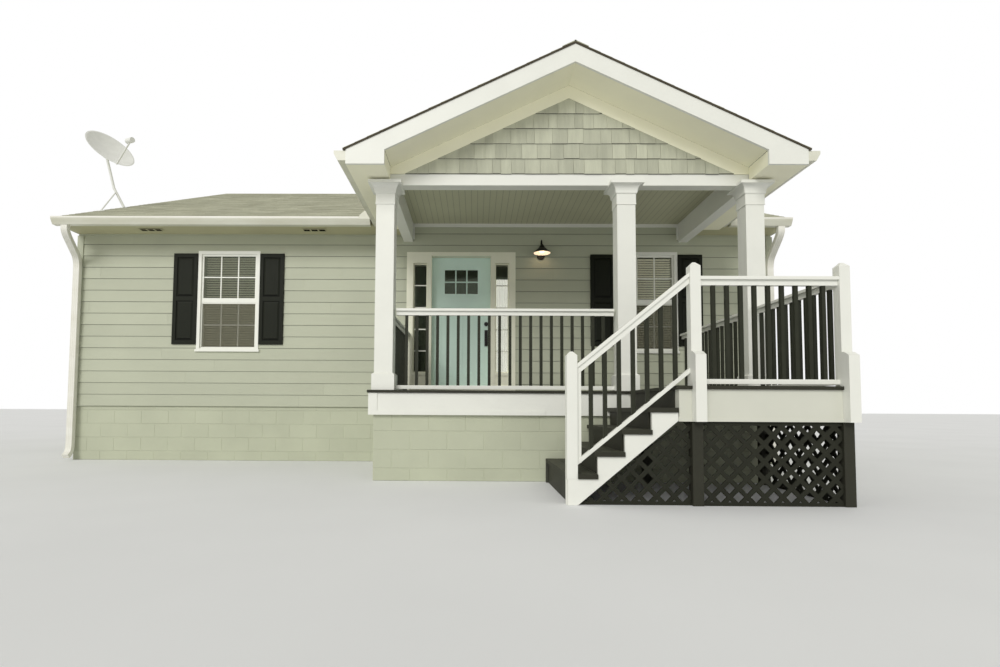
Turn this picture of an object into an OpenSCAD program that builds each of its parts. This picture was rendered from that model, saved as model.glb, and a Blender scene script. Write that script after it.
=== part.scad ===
// Single-storey bungalow with a gabled front porch, a side deck and a flight of steps.
// Millimetres. X runs to the right along the front, Y back into the house, Z up from the ground.
// The origin is under the middle of the front foundation wall, on the ground.

/* [House body] */
// Width of the house over its side walls
house_w = 10480; // [9600:10:11400]
// Depth of the house over its front and back walls
house_d = 9900; // [8600:10:11000]
// Thickness of the outer walls
wall_t = 150; // [120:5:220]
// Height of the lower edge of the siding
siding_z = 806; // [700:2:860]
// Height of the underside of the eaves
soffit_z = 3420; // [3360:5:3480]
// Thickness of the foundation walls
found_t = 200; // [160:5:260]
// Distance of the foundation behind the face of the siding
found_in = 20; // [10:1:40]
// Height of the floor inside the house
floor_z = 1075; // [1040:5:1100]
// Depth of the floor joists and boards
floor_t = 240; // [180:5:260]
// Width of a corner board
corner_w = 92; // [70:2:120]
// Thickness of the outside trim boards
trim_t = 20; // [12:1:30]
// Height of the trim board under the eaves
frieze_h = 26; // [20:2:60]

/* [Main roof] */
// Slope of the main roof in degrees
roof_angle = 24.44; // [22:0.01:27]
// Distance from the wall to the fascia
eave_out = 450; // [380:10:520]
// Height of the roof surface at the fascia
eave_z = 3540; // [3530:5:3560]
// Vertical thickness of the roof
roof_t = 105; // [90:5:140]
// Distance that the roof runs past the fascia
drip = 30; // [10:5:45]
// Distance that the roof runs past the side walls
rake_out = 25; // [22:1:60]
// Thickness of a fascia board
fascia_t = 20; // [18:1:30]
// Thickness of a ceiling or soffit board
board_t = 15; // [12:1:25]

/* [Gutters] */
// Width of a gutter at its top
gutter_w = 125; // [100:5:140]
// Height of a gutter
gutter_h = 105; // [80:5:120]
// Thickness of the gutter metal
gutter_t = 4; // [3:1:6]
// Width of the splash guard on the gutter beside the porch
guard_w = 145; // [100:5:180]
// Width of a downspout, seen from the front
spout_w = 100; // [70:5:110]
// Depth of a downspout
spout_d = 76; // [50:2:90]

/* [Porch] */
// Place of the middle of the porch, from the middle of the house
porch_x = 1855; // [1600:5:2100]
// Distance from the front wall to the face of the columns
porch_d = 2183; // [2000:5:2600]
// Height of the porch floor
porch_z = 990; // [960:5:1010]
// Distance of the outer columns from the middle of the porch
col_off = 2067; // [1950:5:2200]
// Distance of the inner column from the middle of the porch
mid_off = 634; // [500:2:800]
// Width of a column shaft
col_w = 204; // [160:2:240]
// Width of a column plinth
plinth_w = 252; // [220:2:300]
// Height of a column plinth
plinth_h = 195; // [150:5:260]
// Width of a column cap
cap_w = 370; // [300:5:420]
// Height of the lower edge of the neck block
neck_z = 3095; // [3000:5:3120]
// Height of the lower edge of the crown
crown_z = 3214; // [3180:2:3240]
// Height of the underside of the porch beam
beam_z = 3313; // [3300:1:3330]
// Height of the face of the porch beam
beam_h = 127; // [100:1:160]
// Width of the porch beams
beam_w = 140; // [100:5:180]
// Height of the cap above the underside of the beam
cap_lap = 24; // [5:1:40]
// Height of the porch ceiling
ceil_z = 3590; // [3560:5:3600]
// Thickness of the floor boards
plank_t = 28; // [20:1:40]
// Distance that the floor boards run past the band below
plank_out = 22; // [10:1:40]
// Height of the white band under the porch floor
band_h = 242; // [200:2:300]
// Thickness of the white band
band_t = 45; // [30:1:60]
// Width of the strip along the foot of the band
strip_h = 48; // [30:1:60]
// Distance of the block wall outside the middle line of the outer columns
block_out = 98; // [80:1:140]

/* [Porch roof] */
// Distance from the middle line of an outer column to the porch fascia
gable_side = 360; // [320:5:420]
// Distance of the gable front from the face of the columns
gable_over = 418; // [300:2:500]
// Slope of the porch roof in degrees
gable_angle = 25.34; // [23:0.01:27]
// Height of the upper edge of the rake board at its foot
rake_z = 3518; // [3500:1:3540]
// Vertical height of the rake board
rake_h = 196; // [160:2:220]
// Thickness of the rake board
rake_t = 30; // [18:1:40]
// Height of the underside of the porch eaves
return_z = 3362; // [3340:2:3380]
// Width of the boxed foot of the gable
return_w = 410; // [300:5:500]
// Vertical thickness of the porch roof
porch_roof_t = 90; // [60:5:120]
// Distance of the roof surface above the rake board
cover_t = 18; // [10:1:30]
// Vertical width of the white board between the gable soffit and the shingles
gable_frieze = 151; // [100:1:200]

/* [Deck and steps] */
// Distance from the front wall to the front of the deck
deck_d = 3690; // [3500:5:4000]
// Place of the left side of the deck rim
deck_x0 = 2501; // [2480:1:2520]
// Place of the right side of the deck rim
deck_x1 = 3940; // [3800:5:4000]
// Height of the deck rim
rim_h = 268; // [220:2:300]
// Thickness of the deck rim
rim_t = 38; // [30:1:45]
// Width of a railing post
post_w = 89; // [80:1:110]
// Place of the left face of the left deck post
post_x0 = 2607; // [2590:1:2640]
// Height of the deck posts
post_z = 2036; // [1990:2:2100]
// Height of the outer blocks at the corners of the deck
block_z = 1277; // [1200:1:1320]
// Height of the pyramid on a post
point_h = 34; // [20:1:50]
// Place of the left face of the foot post of the steps
newel_x = 1571; // [1560:1:1580]
// Height of the foot post
newel_z = 1275; // [1200:5:1320]
// Number of treads
treads = 4; // [4:1:4]
// Height of the lowest tread
first_rise = 254; // [230:2:270]
// Run of a step
step_run = 224.5; // [215:0.5:226]
// Thickness of a tread
tread_t = 38; // [30:1:45]
// Distance that a tread runs past the riser below it
nosing = 25; // [15:1:35]
// Distance that a tread runs past the face of the stringer
tread_over = 18; // [10:1:30]
// Thickness of a riser
riser_t = 19; // [15:1:25]

/* [Railings] */
// Height of the upper edge of a railing above the porch floor
rail_h = 926; // [880:2:960]
// Width of the cap of a railing
rail_cap_w = 88; // [60:2:100]
// Thickness of the cap of a railing
rail_cap_t = 29; // [20:1:35]
// Width of the bars under the cap and at the foot
rail_bar_w = 40; // [34:1:60]
// Height of the bar under the cap
rail_sub_h = 47; // [35:1:60]
// Height of the bar at the foot
rail_foot_h = 41; // [30:1:60]
// Gap between the porch floor and the bar at the foot
rail_gap = 18; // [8:1:60]
// Width of a baluster
bal_w = 32; // [28:1:38]
// Distance between balusters, at most
bal_step = 120; // [110:1:130]
// Height of the upper edge of the stair rail at the foot post
stair_rail_z = 1170; // [1120:5:1200]
// Height of the upper edge of the lower stair rail at the foot post
stair_foot_z = 368; // [366:1:380]
// Vertical thickness of the lower stair rail
stair_foot_h = 42; // [34:1:43]
// Number of balusters in the stair railing
stair_bals = 7; // [6:1:8]

/* [Lattice] */
// Width of a lattice bar
lath_w = 38; // [25:1:45]
// Thickness of the lattice
lath_t = 12; // [8:1:20]
// Distance between lattice bars along the panel
lath_step = 145; // [130:5:180]

/* [Windows] */
// Width of a window over its casing
win_w = 939; // [860:1:1000]
// Height of the lower edge of a window casing
win_z0 = 1629; // [1560:1:1700]
// Height of the upper edge of a window casing
win_z1 = 3161; // [3100:1:3200]
// Width of the casing boards
casing_w = 48; // [40:1:80]
// Width of a sash bar
sash_w = 29; // [26:1:45]
// Thickness of a sash
sash_t = 33; // [30:1:40]
// Distance of the upper sash behind the face of the wall
sash_in = 4; // [2:1:30]
// Height of the meeting bar
meet_h = 71; // [50:1:90]
// Place of the left front window
win_left_x = -2930; // [-3200:5:-2600]
// Place of the right front window
win_right_x = 3368; // [3300:2:3420]
// Places of the side windows along the depth of the house
side_win_y = [2500, 7400];
// Places of the back windows along the width of the house
back_win_x = [-3300, 0, 3300];
// Thickness of the glass
glass_t = 6; // [4:1:10]
// Width of a shutter
shutter_w = 365; // [300:5:400]
// Height of a shutter
shutter_h = 1383; // [1300:1:1450]
// Thickness of a shutter
shutter_t = 30; // [20:1:40]

/* [Entrance] */
// Place of the middle of the front door
door_x = 586; // [500:2:700]
// Width of the door leaf
door_w = 914; // [860:2:930]
// Height of the door leaf
door_h = 2020; // [1980:2:2040]
// Thickness of the door leaf
door_t = 44; // [40:1:50]
// Radius of the hinge barrels of the door
hinge_r = 8; // [6:0.5:9]
// Gap round the door leaf
door_gap = 8; // [6:1:10]
// Width of the entrance over its casing
entry_w = 1640; // [1600:2:1700]
// Height of the upper edge of the entrance casing
entry_z = 3153; // [3140:1:3170]
// Width of a side light
light_w = 180; // [150:2:200]
// Width of the post between the door and a side light
mullion_w = 63; // [50:1:80]
// Height of the lower edge of the side lights
light_z0 = 1344; // [1300:2:1400]
// Height of the upper edge of the side lights
light_z1 = 2972; // [2900:2:3000]
// Distance of the lock from the free edge of the door leaf
lock_in = 75; // [60:1:90]
// Height of the lock above the ground
lock_z = 2077; // [2000:1:2150]
// Height of the foot of the door pull
pull_z = 1740; // [1650:5:1800]
// Height of the door pull
pull_h = 245; // [180:5:260]
// Height of the knob inside
knob_z = 1900; // [1850:5:1950]
// Width of the glass in the door
lite_w = 505; // [400:5:560]
// Height of the glass in the door
lite_h = 370; // [300:5:400]
// Height of the lower edge of the glass in the door
lite_z = 2540; // [2480:5:2580]

/* [Porch lamp] */
// Place of the lamp from the middle of the porch
lamp_x = -68; // [-200:2:200]
// Height of the foot of the lamp shade
lamp_z = 3098; // [3000:2:3200]
// Distance of the middle of the shade from the wall
lamp_out = 160; // [150:5:220]
// Radius of the shade at its foot
lamp_r = 128; // [120:1:140]

/* [Roof dish] */
// Width of the dish
dish_w = 760; // [600:10:900]
// Depth of the bowl of the dish
dish_deep = 75; // [50:5:110]
// Thickness of the dish
dish_t = 8; // [5:1:12]
// Turn of the dish from the right towards the front, in degrees
dish_turn = 29; // [0:1:45]
// Tilt of the dish from level, in degrees
dish_tilt = 55; // [35:1:65]
// Distance of the receiver before the bowl
dish_arm = 570; // [400:10:650]
// Distance of the bowl before the mast
bracket_l = 75; // [50:5:110]
// Place of the foot of the mast from the left side wall
mast_in = 75; // [50:5:200]
// Place of the foot of the mast behind the front wall
mast_y = 900; // [700:10:1200]
// Radius of the mast
mast_r = 21; // [16:1:30]
// Place of the foot of the stay behind the front wall
stay_y = 350; // [250:10:500]

/* [Hidden] */
$fn = 48;
eps = 1;                                    // clearance between pieces that touch
wx = house_w / 2;
roof_rise = tan(roof_angle);
gable_rise = tan(gable_angle);
seat_y = found_in + found_t / 2;             // middle of the front foundation wall
in_x = wx - wall_t;
ridge_y = house_d / 2;
found_x = wx - found_in;
entry_x0 = door_x - entry_w / 2;
entry_x1 = door_x + entry_w / 2;
rough_x0 = entry_x0 + 30;
rough_x1 = entry_x1 - 30;
rough_z = entry_z - 28;
gable_half = col_off + gable_side;           // from the middle of the porch to its fascia
col_y = -porch_d + col_w / 2;               // middle line of the columns
beam_y0 = col_y - beam_w / 2;
beam_y1 = col_y + beam_w / 2;
side_l = porch_x - col_off;                 // middle line of the left side beam
side_r = porch_x + col_off;
mid_x = porch_x + mid_off;
pane_y0 = sash_in + 14;
pane_y1 = sash_in + sash_t + 13;
block_x0 = side_l - block_out;
block_x1 = side_r + block_out;
band_x0 = block_x0 - band_t;
band_x1 = block_x1 + band_t;
band_y = -porch_d - band_t;
band_z1 = porch_z - plank_t;
deck_y0 = -deck_d;
deck_y1 = band_y - eps;
rim_z0 = band_z1 - rim_h;
post_x1 = deck_x1 - post_w;
gable_y = -porch_d - gable_over;
rise_n = (porch_z - first_rise) / treads;
rail_top = porch_z + rail_h;
stair_k = rise_n / step_run;
lite_x0 = door_x - lite_w / 2;
side_light_x = door_w / 2 + door_gap + mullion_w;
hinge_x = door_x - door_w / 2 - 3;
hinge_y = wall_t + hinge_r + 1;
door_y = wall_t - door_t;                   // outer face of the door leaf
door_z = floor_z + 12;

mast_knee = [-150, -50, 327];              // from the foot of the mast to its bend
mast_top = [-262, -110, 870];               // from the foot of the mast to its top
function roof_at(y) = eave_z + (y + eave_out) * roof_rise;
function gable_at(x) = rake_z + cover_t + (gable_half - abs(x - porch_x)) * gable_rise;
function tread_z(k) = first_rise + k * rise_n;
function tread_x(k) = newel_x + 6 + k * step_run;

module box(x0, x1, y0, y1, z0, z1) {
  translate([x0, y0, z0]) cube([x1 - x0, y1 - y0, z1 - z0]);
}

// Sets the origin under the middle of the front foundation wall
module seat() {
  translate([0, -seat_y, 0]) children();
}

// A flat shape drawn in Y and Z, carried along X
module along_x(x0, x1) {
  translate([x0, 0, 0]) rotate([90, 0, 90]) linear_extrude(x1 - x0) children();
}

// A flat shape drawn in X and Z, carried along Y
module along_y(y0, y1) {
  translate([0, y1, 0]) rotate([90, 0, 0]) linear_extrude(y1 - y0) children();
}

module house_foundation() {
  color("#9aa08f") seat() difference() {
    box(-found_x, found_x, found_in, house_d - found_in, 0, siding_z - eps);
    box(-found_x + found_t, found_x - found_t, found_in + found_t,
      house_d - found_in - found_t, -1, siding_z + 1);
  }
}

module house_floor() {
  color("#a98d68") seat() difference() {
    union() {
      box(-in_x + eps, in_x - eps, wall_t + eps, house_d - wall_t - eps, floor_z - floor_t, floor_z);
      box(rough_x0 + eps, rough_x1 - eps, 0, wall_t + 2 * eps, floor_z - floor_t, floor_z - 20);
    }
  }
}

module window_hole(half) {
  box(-half, half, -50, wall_t + 50, win_z0 + 40, win_z1 - 40);
}

module front_wall_left() {
  color("#a9ae9c") seat() difference() {
    along_y(0, wall_t) polygon([[-in_x + eps, siding_z], [rough_x0, siding_z],
      [rough_x0, ceil_z + board_t], [side_l - beam_w / 2, ceil_z + board_t],
      [side_l - beam_w / 2, soffit_z], [-in_x + eps, soffit_z]]);
    translate([win_left_x, 0, 0]) window_hole(win_w / 2 - 40);
  }
}

module front_wall_right() {
  color("#a9ae9c") seat() difference() {
    along_y(0, wall_t) polygon([[rough_x1, siding_z], [in_x - eps, siding_z],
      [in_x - eps, soffit_z], [side_r + beam_w / 2, soffit_z],
      [side_r + beam_w / 2, ceil_z + board_t], [rough_x1, ceil_z + board_t]]);
    translate([win_right_x, 0, 0]) window_hole(win_w / 2 - 40);
  }
}

module front_wall_at_door() {
  color("#a9ae9c") seat() {
    box(rough_x0 + eps, rough_x1 - eps, 0, wall_t, rough_z, ceil_z + board_t);
    box(rough_x0 + eps, rough_x1 - eps, 0, wall_t, siding_z, floor_z - floor_t - eps);
  }
}

module side_wall() {
  difference() {
    along_x(0, wall_t) polygon([[0, siding_z], [house_d, siding_z],
      [house_d, roof_at(0) - roof_t - eps], [ridge_y, roof_at(ridge_y) - roof_t - eps],
      [0, roof_at(0) - roof_t - eps]]);
    for (y = side_win_y)
      translate([0, y, 0]) rotate([0, 0, -90]) window_hole(win_w / 2 - 40);
  }
}

module left_wall() {
  color("#a9ae9c") seat() translate([-wx, 0, 0]) side_wall();
}

module right_wall() {
  color("#a9ae9c") seat() mirror([1, 0, 0]) translate([-wx, 0, 0]) side_wall();
}

module back_wall() {
  color("#a9ae9c") seat() difference() {
    box(-in_x + eps, in_x - eps, house_d - wall_t, house_d, siding_z, soffit_z);
    for (x = back_win_x)
      translate([x, house_d - wall_t, 0]) window_hole(win_w / 2 - 40);
  }
}

module corner_boards() {
  color("#a3a896") seat()
    for (sx = [0, 1], sy = [0, 1])
      translate([0, sy * house_d, 0]) mirror([0, sy, 0]) mirror([sx, 0, 0]) {
        box(-wx - trim_t, -wx + corner_w - trim_t, -trim_t, -eps / 4, siding_z, soffit_z - frieze_h);
        box(-wx - trim_t, -wx - eps / 4, -eps, corner_w - trim_t, siding_z, soffit_z - frieze_h);
      }
}

module frieze_boards() {
  color("#d8d8cc") seat() {
    box(-wx, side_l - beam_w / 2 - eps, -trim_t, -eps / 4, soffit_z - frieze_h + eps, soffit_z - eps);
    box(side_r + beam_w / 2 + eps, wx, -trim_t, -eps / 4, soffit_z - frieze_h + eps, soffit_z - eps);
    box(-wx, wx, house_d + eps / 4, house_d + trim_t, soffit_z - frieze_h + eps, soffit_z - eps);
    for (sx = [0, 1]) mirror([sx, 0, 0])
      along_x(-wx - trim_t, -wx - eps / 4) polygon([
        [-eave_out, roof_at(-eave_out) - roof_t - eps], [ridge_y, roof_at(ridge_y) - roof_t - eps],
        [house_d + eave_out, roof_at(-eave_out) - roof_t - eps],
        [house_d + eave_out, soffit_z], [house_d, soffit_z],
        [house_d, roof_at(0) - roof_t - 150], [ridge_y, roof_at(ridge_y) - roof_t - 150],
        [0, roof_at(0) - roof_t - 150], [0, soffit_z], [-eave_out, soffit_z]]);
  }
}

module house_ceiling() {
  color("#e4e2da") seat()
    box(-in_x + eps, in_x - eps, wall_t + eps, house_d, soffit_z + eps, soffit_z + board_t);
}

module under_porch_roof(y0, y1) {
  along_y(y0, y1) polygon([[porch_x - gable_half, neck_z],
    [porch_x - gable_half, gable_at(porch_x - gable_half) + eps], [porch_x, gable_at(porch_x) + eps],
    [porch_x + gable_half, gable_at(porch_x - gable_half) + eps], [porch_x + gable_half, neck_z]]);
}

module roof_slope(y_end) {
  along_x(-wx - rake_out, wx + rake_out) polygon([
    [-eave_out - drip, roof_at(-eave_out - drip) - 12], [-eave_out - drip, roof_at(-eave_out - drip)],
    [y_end, roof_at(y_end)], [y_end, roof_at(y_end) - roof_t],
    [-eave_out + fascia_t + eps, roof_at(-eave_out + fascia_t) - roof_t],
    [-eave_out + fascia_t + eps, roof_at(-eave_out) - 25], [-eave_out, roof_at(-eave_out) - 25]]);
}

module main_roof_front() {
  color("#8f9087") seat() difference() {
    roof_slope(ridge_y - eps / 2);
    under_porch_roof(-porch_d, 0);
    for (x = [side_l, side_r])
      box(x - beam_w / 2 - eps, x + beam_w / 2 + eps, -porch_d, 0, neck_z, ceil_z + board_t + eps);
  }
}

module main_roof_back() {
  color("#8f9087") seat() translate([0, house_d, 0]) mirror([0, 1, 0]) roof_slope(ridge_y - eps / 2);
}

module eave_box(x0, x1) {
  box(x0, x1, -eave_out + fascia_t, -eps / 4, soffit_z, soffit_z + board_t);
  box(x0, x1, -eave_out, -eave_out + fascia_t, soffit_z - 10, roof_at(-eave_out) - 25 - eps);
}

module eaves() {
  color("#c9c9b8") seat() {
    eave_box(-wx + eps, side_l - beam_w / 2 - eps);
    eave_box(side_r + beam_w / 2 + eps, wx - eps);
    translate([0, house_d, 0]) mirror([0, 1, 0]) eave_box(-wx + eps, wx - eps);
  }
}

// Section of a gutter: flat back and floor, front that leans out, rolled lip
module gutter_section() {
  polygon([[0, 0], [0, gutter_h], [-gutter_t, gutter_h], [-gutter_t, 0]]);
  polygon([[0, 0], [0, gutter_t], [-gutter_w * 0.62, gutter_t], [-gutter_w * 0.84, gutter_h * 0.45],
    [-gutter_w * 0.96, gutter_h * 0.72], [-gutter_w * 0.96, gutter_h - gutter_t],
    [-gutter_w * 0.82, gutter_h - gutter_t], [-gutter_w * 0.82, gutter_h], [-gutter_w, gutter_h],
    [-gutter_w, gutter_h * 0.7], [-gutter_w * 0.88, gutter_h * 0.43], [-gutter_w * 0.66, 0]]);
}

// The closed outline of that section, for the end caps
module gutter_cap() {
  polygon([[0, 0], [0, gutter_h], [-gutter_w, gutter_h], [-gutter_w, gutter_h * 0.7],
    [-gutter_w * 0.88, gutter_h * 0.43], [-gutter_w * 0.66, 0]]);
}

module gutter_along_x(x0, x1) {
  translate([0, -eave_out - eps, soffit_z - 23]) {
    along_x(x0, x1) gutter_section();
    for (x = [x0, x1 - gutter_t])
      along_x(x, x + gutter_t) gutter_cap();
  }
}

module gutters() {
  color("#f2f1ea") seat() {
    gutter_along_x(-wx - 22, porch_x - gable_half - gutter_w - 4);
    gutter_along_x(porch_x + gable_half + gutter_w + 4, wx + 22);
    translate([0, house_d, 0]) mirror([0, 1, 0]) gutter_along_x(-wx - 22, wx + 22);
    translate([porch_x, 0, 0]) for (s = [0, 1]) mirror([s, 0, 0])
      translate([-gable_half - eps, 0, rake_z - gutter_h - 13]) {
        along_y(gable_y + 6, -eave_out - eps) gutter_section();
        for (y = [gable_y + 6, -eave_out - eps - gutter_t])
          along_y(y, y + gutter_t) gutter_cap();
      }
    // splash guard on the lip beside the porch roof
    translate([porch_x - gable_half - gutter_w - guard_w - 15, -eave_out - eps - gutter_w + gutter_t,
      soffit_z - 23 + gutter_h - 8]) rotate([90, 0, 0]) linear_extrude(gutter_t)
        polygon([[0, 0], [guard_w, 0], [guard_w, guard_w * 0.3], [guard_w * 0.6, guard_w * 0.65],
          [guard_w * 0.12, guard_w * 0.25]]);
  }
}

// A bent pipe: its side view is drawn once and its front view cuts it to width
module spout(x_top, x_pipe) {
  d = spout_d / 2;
  y_top = -eave_out - gutter_w * 0.35;
  y_pipe = -trim_t - 4 - d;
  z_top = soffit_z - 24;
  z_bend = z_top - 50;
  z_wall = z_top - 300;
  w = spout_w / 2;
  intersection() {
    along_x(min(x_top, x_pipe) - w, max(x_top, x_pipe) + w) polygon([
      [y_top - d, z_top], [y_top + d, z_top], [y_top + d, z_bend], [y_pipe + d, z_wall],
      [y_pipe + d, 90], [y_pipe + d - 40, 20], [y_pipe - d - 120, 20], [y_pipe - d - 120, 50],
      [y_pipe - d, 110], [y_pipe - d, z_wall - 40], [y_top - d, z_bend - 40]]);
    along_y(-eave_out * 1.6, 0) polygon([
      [x_top - w, z_top], [x_top + w, z_top], [x_top + w, z_bend], [x_pipe + w, z_wall],
      [x_pipe + w, 20], [x_pipe - w, 20], [x_pipe - w, z_wall], [x_top - w, z_bend]]);
  }
}

module downspouts() {
  color("#efeee8") seat() {
    spout(-wx + 140, -wx + 29);
    spout(wx - 110, wx - 52);
  }
}

module porch_foundation() {
  color("#b3b5a5") seat() difference() {
    box(block_x0, block_x1, -porch_d, found_in - eps, 0, band_z1 - eps);
    box(block_x0 + found_t, block_x1 - found_t, -porch_d + found_t, found_in + 10, -1, band_z1);
    box(block_x0 - 10, block_x1 + 10, -1, found_in + 10, siding_z - eps, band_z1 + 1);
  }
}

module porch_band() {
  z0 = band_z1 - band_h;
  color("#e9e7df") seat() difference() {
    union() {
      box(band_x0, band_x1, band_y, -trim_t - eps, z0, band_z1 - eps);
      box(band_x0 - 8, band_x1 + 8, band_y - 8, -trim_t - eps, z0, z0 + strip_h);
      box(band_x0 - 8, band_x0 + 90, band_y - 8, -trim_t - eps, z0, band_z1 - eps);
      box(band_x1 - 90, band_x1 + 8, band_y - 8, -trim_t - eps, z0, band_z1 - eps);
    }
    box(block_x0 - eps / 4, block_x1 + eps / 4, -porch_d - eps / 4, 10, z0 - 10, band_z1 + 10);
    box(newel_x, deck_x1 + 6 + 2 * eps, -deck_d, band_y, z0 - 10, band_z1 + 10);
  }
}

module porch_floor() {
  color("#55564f") seat()
    box(band_x0 - plank_out, band_x1 + plank_out, band_y, -eps, band_z1, porch_z);
  color("#55564f") seat()
    box(band_x0 - plank_out, deck_x0 - plank_out - 2, band_y - plank_out, band_y, band_z1, porch_z);
}

// Half of the outline of a column as points of half width and height
function cove(z0, z1, r0, r1) =
  [for (i = [0:6]) let (a = i * 15) [r0 + (r1 - r0) * (1 - cos(a)), z0 + (z1 - z0) * sin(a)]];

module column_outline() {
  half = concat(
    [[plinth_w / 2, porch_z + eps / 4], [plinth_w / 2, porch_z + plinth_h - 18],
      [col_w / 2 + 2, porch_z + plinth_h], [col_w / 2, porch_z + plinth_h], [col_w / 2, neck_z - 16],
      [col_w / 2 + 9, neck_z - 12], [col_w / 2 + 9, neck_z], [col_w / 2 + 6, neck_z],
      [col_w / 2 + 6, crown_z - 12], [col_w / 2 + 14, crown_z - 8]],
    cove(crown_z, beam_z - 10, col_w / 2 + 18, cap_w / 2 - 12),
    [[cap_w / 2, beam_z - 10], [cap_w / 2, beam_z + cap_lap]]);
  n = len(half);
  polygon(concat(half, [for (i = [n - 1:-1:0]) [-half[i][0], half[i][1]]]));
}

module column(x) {
  difference() {
    intersection() {
      translate([x, 0, 0]) along_y(col_y - cap_w, col_y + cap_w) column_outline();
      translate([0, col_y, 0]) along_x(x - cap_w, x + cap_w) column_outline();
    }
    box(side_l - beam_w / 2 - eps / 2, side_r + beam_w / 2 + eps / 2, beam_y0 - eps / 2,
      beam_y1 + eps / 2, beam_z - eps / 4, beam_z + 500);
    for (s = [side_l, side_r])
      box(s - beam_w / 2 - eps / 2, s + beam_w / 2 + eps / 2, beam_y0, 0, beam_z - eps / 4,
        beam_z + 500);
  }
}

module porch_columns() {
  color("#eeece3") seat() {
    column(side_l);
    column(mid_x);
    column(side_r);
  }
}

// Top of a side beam at x: level with the ceiling, or else just under the roof
function beam_top(x) = min(ceil_z + board_t, gable_at(x) - porch_roof_t - eps);

module porch_beams() {
  color("#efede5") seat() {
    box(side_l - beam_w / 2, side_r + beam_w / 2, beam_y0, beam_y1, beam_z, beam_z + beam_h);
    for (x = [side_l, side_r])
      along_y(beam_y1 + eps, -eps) polygon([[x - beam_w / 2, beam_z], [x + beam_w / 2, beam_z],
        [x + beam_w / 2, beam_top(x + beam_w / 2)], [x - beam_w / 2, beam_top(x - beam_w / 2)]]);
  }
}

module porch_ceiling() {
  x0 = side_l + beam_w / 2 + eps;
  x1 = side_r - beam_w / 2 - eps;
  color("#b9b9ab") seat() {
    box(x0, x1, beam_y1 + eps, -eps, ceil_z, ceil_z + board_t);
    box(x0, x1, -trim_t - eps, -eps, ceil_z - 50, ceil_z);
    box(x0, x0 + trim_t, -trim_t - eps, -eps, ceil_z - 240, ceil_z - 50);
    box(x1 - trim_t, x1, -trim_t - eps, -eps, ceil_z - 240, ceil_z - 50);
    box(x0, x1, beam_y1 + eps, beam_y1 + 20, beam_z + beam_h - 100, ceil_z);
  }
}

// Underside of the gable soffit at x
function gable_soffit(x) = rake_z - rake_h + (gable_half - abs(x - porch_x)) * gable_rise;

module gable_wall() {
  top = gable_soffit(porch_x) - gable_frieze;
  base = beam_z + beam_h + eps;
  half = (top - base) / gable_rise;
  color("#9da190") seat() along_y(beam_y0, beam_y0 + 110)
    polygon([[porch_x - half, base], [porch_x + half, base], [porch_x, top]]);
}

module gable_trim() {
  top = gable_soffit(porch_x);
  base = beam_z + beam_h + eps;
  half = (top - base) / gable_rise;
  inner = half - gable_frieze / gable_rise - eps;
  color("#dedccf") seat() {
    along_y(beam_y0 - 12, beam_y0 + 110) polygon([[porch_x - half, base], [porch_x, top],
      [porch_x + half, base], [porch_x + inner + 2 * eps, base],
      [porch_x, top - gable_frieze + eps], [porch_x - inner - 2 * eps, base]]);
    for (s = [-1, 1])
      along_y(gable_y + rake_t + eps, beam_y0 - 12 - eps) polygon([
        [porch_x, top], [porch_x, top + board_t],
        [porch_x + s * (gable_half - return_w - 2),
          gable_soffit(porch_x + gable_half - return_w - 2) + board_t],
        [porch_x + s * (gable_half - return_w - 2),
          gable_soffit(porch_x + gable_half - return_w - 2)]]);
  }
}

module rake_boards() {
  x0 = gable_half;
  x1 = gable_half - return_w;
  z1 = gable_soffit(porch_x + x1);
  color("#f6f5f0") seat() translate([porch_x, 0, 0]) along_y(gable_y, gable_y + rake_t) polygon([
    [-x0, return_z], [-x0, rake_z], [0, rake_z + gable_half * gable_rise], [x0, rake_z],
    [x0, return_z], [x1, return_z], [x1, z1], [0, gable_soffit(porch_x)], [-x1, z1],
    [-x1, return_z]]);
}

module porch_eave(s) {
  x0 = porch_x - s * gable_half;
  x1 = porch_x - s * (gable_half - return_w);
  xb = porch_x - s * (col_off + beam_w / 2 + eps);
  xf = x0 + s * 20;
  y0 = gable_y + rake_t + eps;
  y1 = -eave_out - eps;
  along_y(y0, beam_y0 - 13) polygon([[xf, return_z], [x1, return_z],
    [x1, gable_soffit(x1) - eps], [x1 - s * 150, gable_soffit(x1) - eps], [xf, return_z + 60]]);
  along_y(y0, y1) polygon([[x0, return_z], [xf, return_z], [xf, rake_z - 80], [x0, rake_z - 80]]);
  along_y(beam_y0 - 13, y1)
    polygon([[xf, return_z], [xb, return_z], [xb, return_z + board_t], [xf, return_z + board_t]]);
}

module porch_eaves() {
  color("#d3d2c4") seat() {
    porch_eave(1);
    porch_eave(-1);
  }
}

module porch_roof_half(s) {
  difference() {
    along_y(gable_y - 12, 2600) polygon([
      [porch_x - s * (gable_half + drip), gable_at(porch_x) - (gable_half + drip) * gable_rise],
      [porch_x - s * eps / 2, gable_at(porch_x)],
      [porch_x - s * eps / 2, gable_at(porch_x) - porch_roof_t],
      [porch_x - s * (gable_half - 30), gable_at(porch_x - gable_half + 30) - porch_roof_t],
      [porch_x - s * gable_half, gable_at(porch_x - gable_half) - 30],
      [porch_x - s * (gable_half + drip), gable_at(porch_x) - (gable_half + drip) * gable_rise - 12]]);
    along_x(-wx, wx) polygon([[-eave_out - drip - eps, 0],
      [-eave_out - drip - eps, roof_at(-eave_out - drip) + eps], [3000, roof_at(3000) + eps], [3000, 0]]);
    translate([porch_x, 0, 0]) along_y(gable_y - 20, gable_y + rake_t + eps) polygon([
      [-gable_half - eps, return_z - 10], [-gable_half - eps, rake_z],
      [0, rake_z + gable_half * gable_rise + eps], [gable_half + eps, rake_z],
      [gable_half + eps, return_z - 10]]);
  }
}

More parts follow.
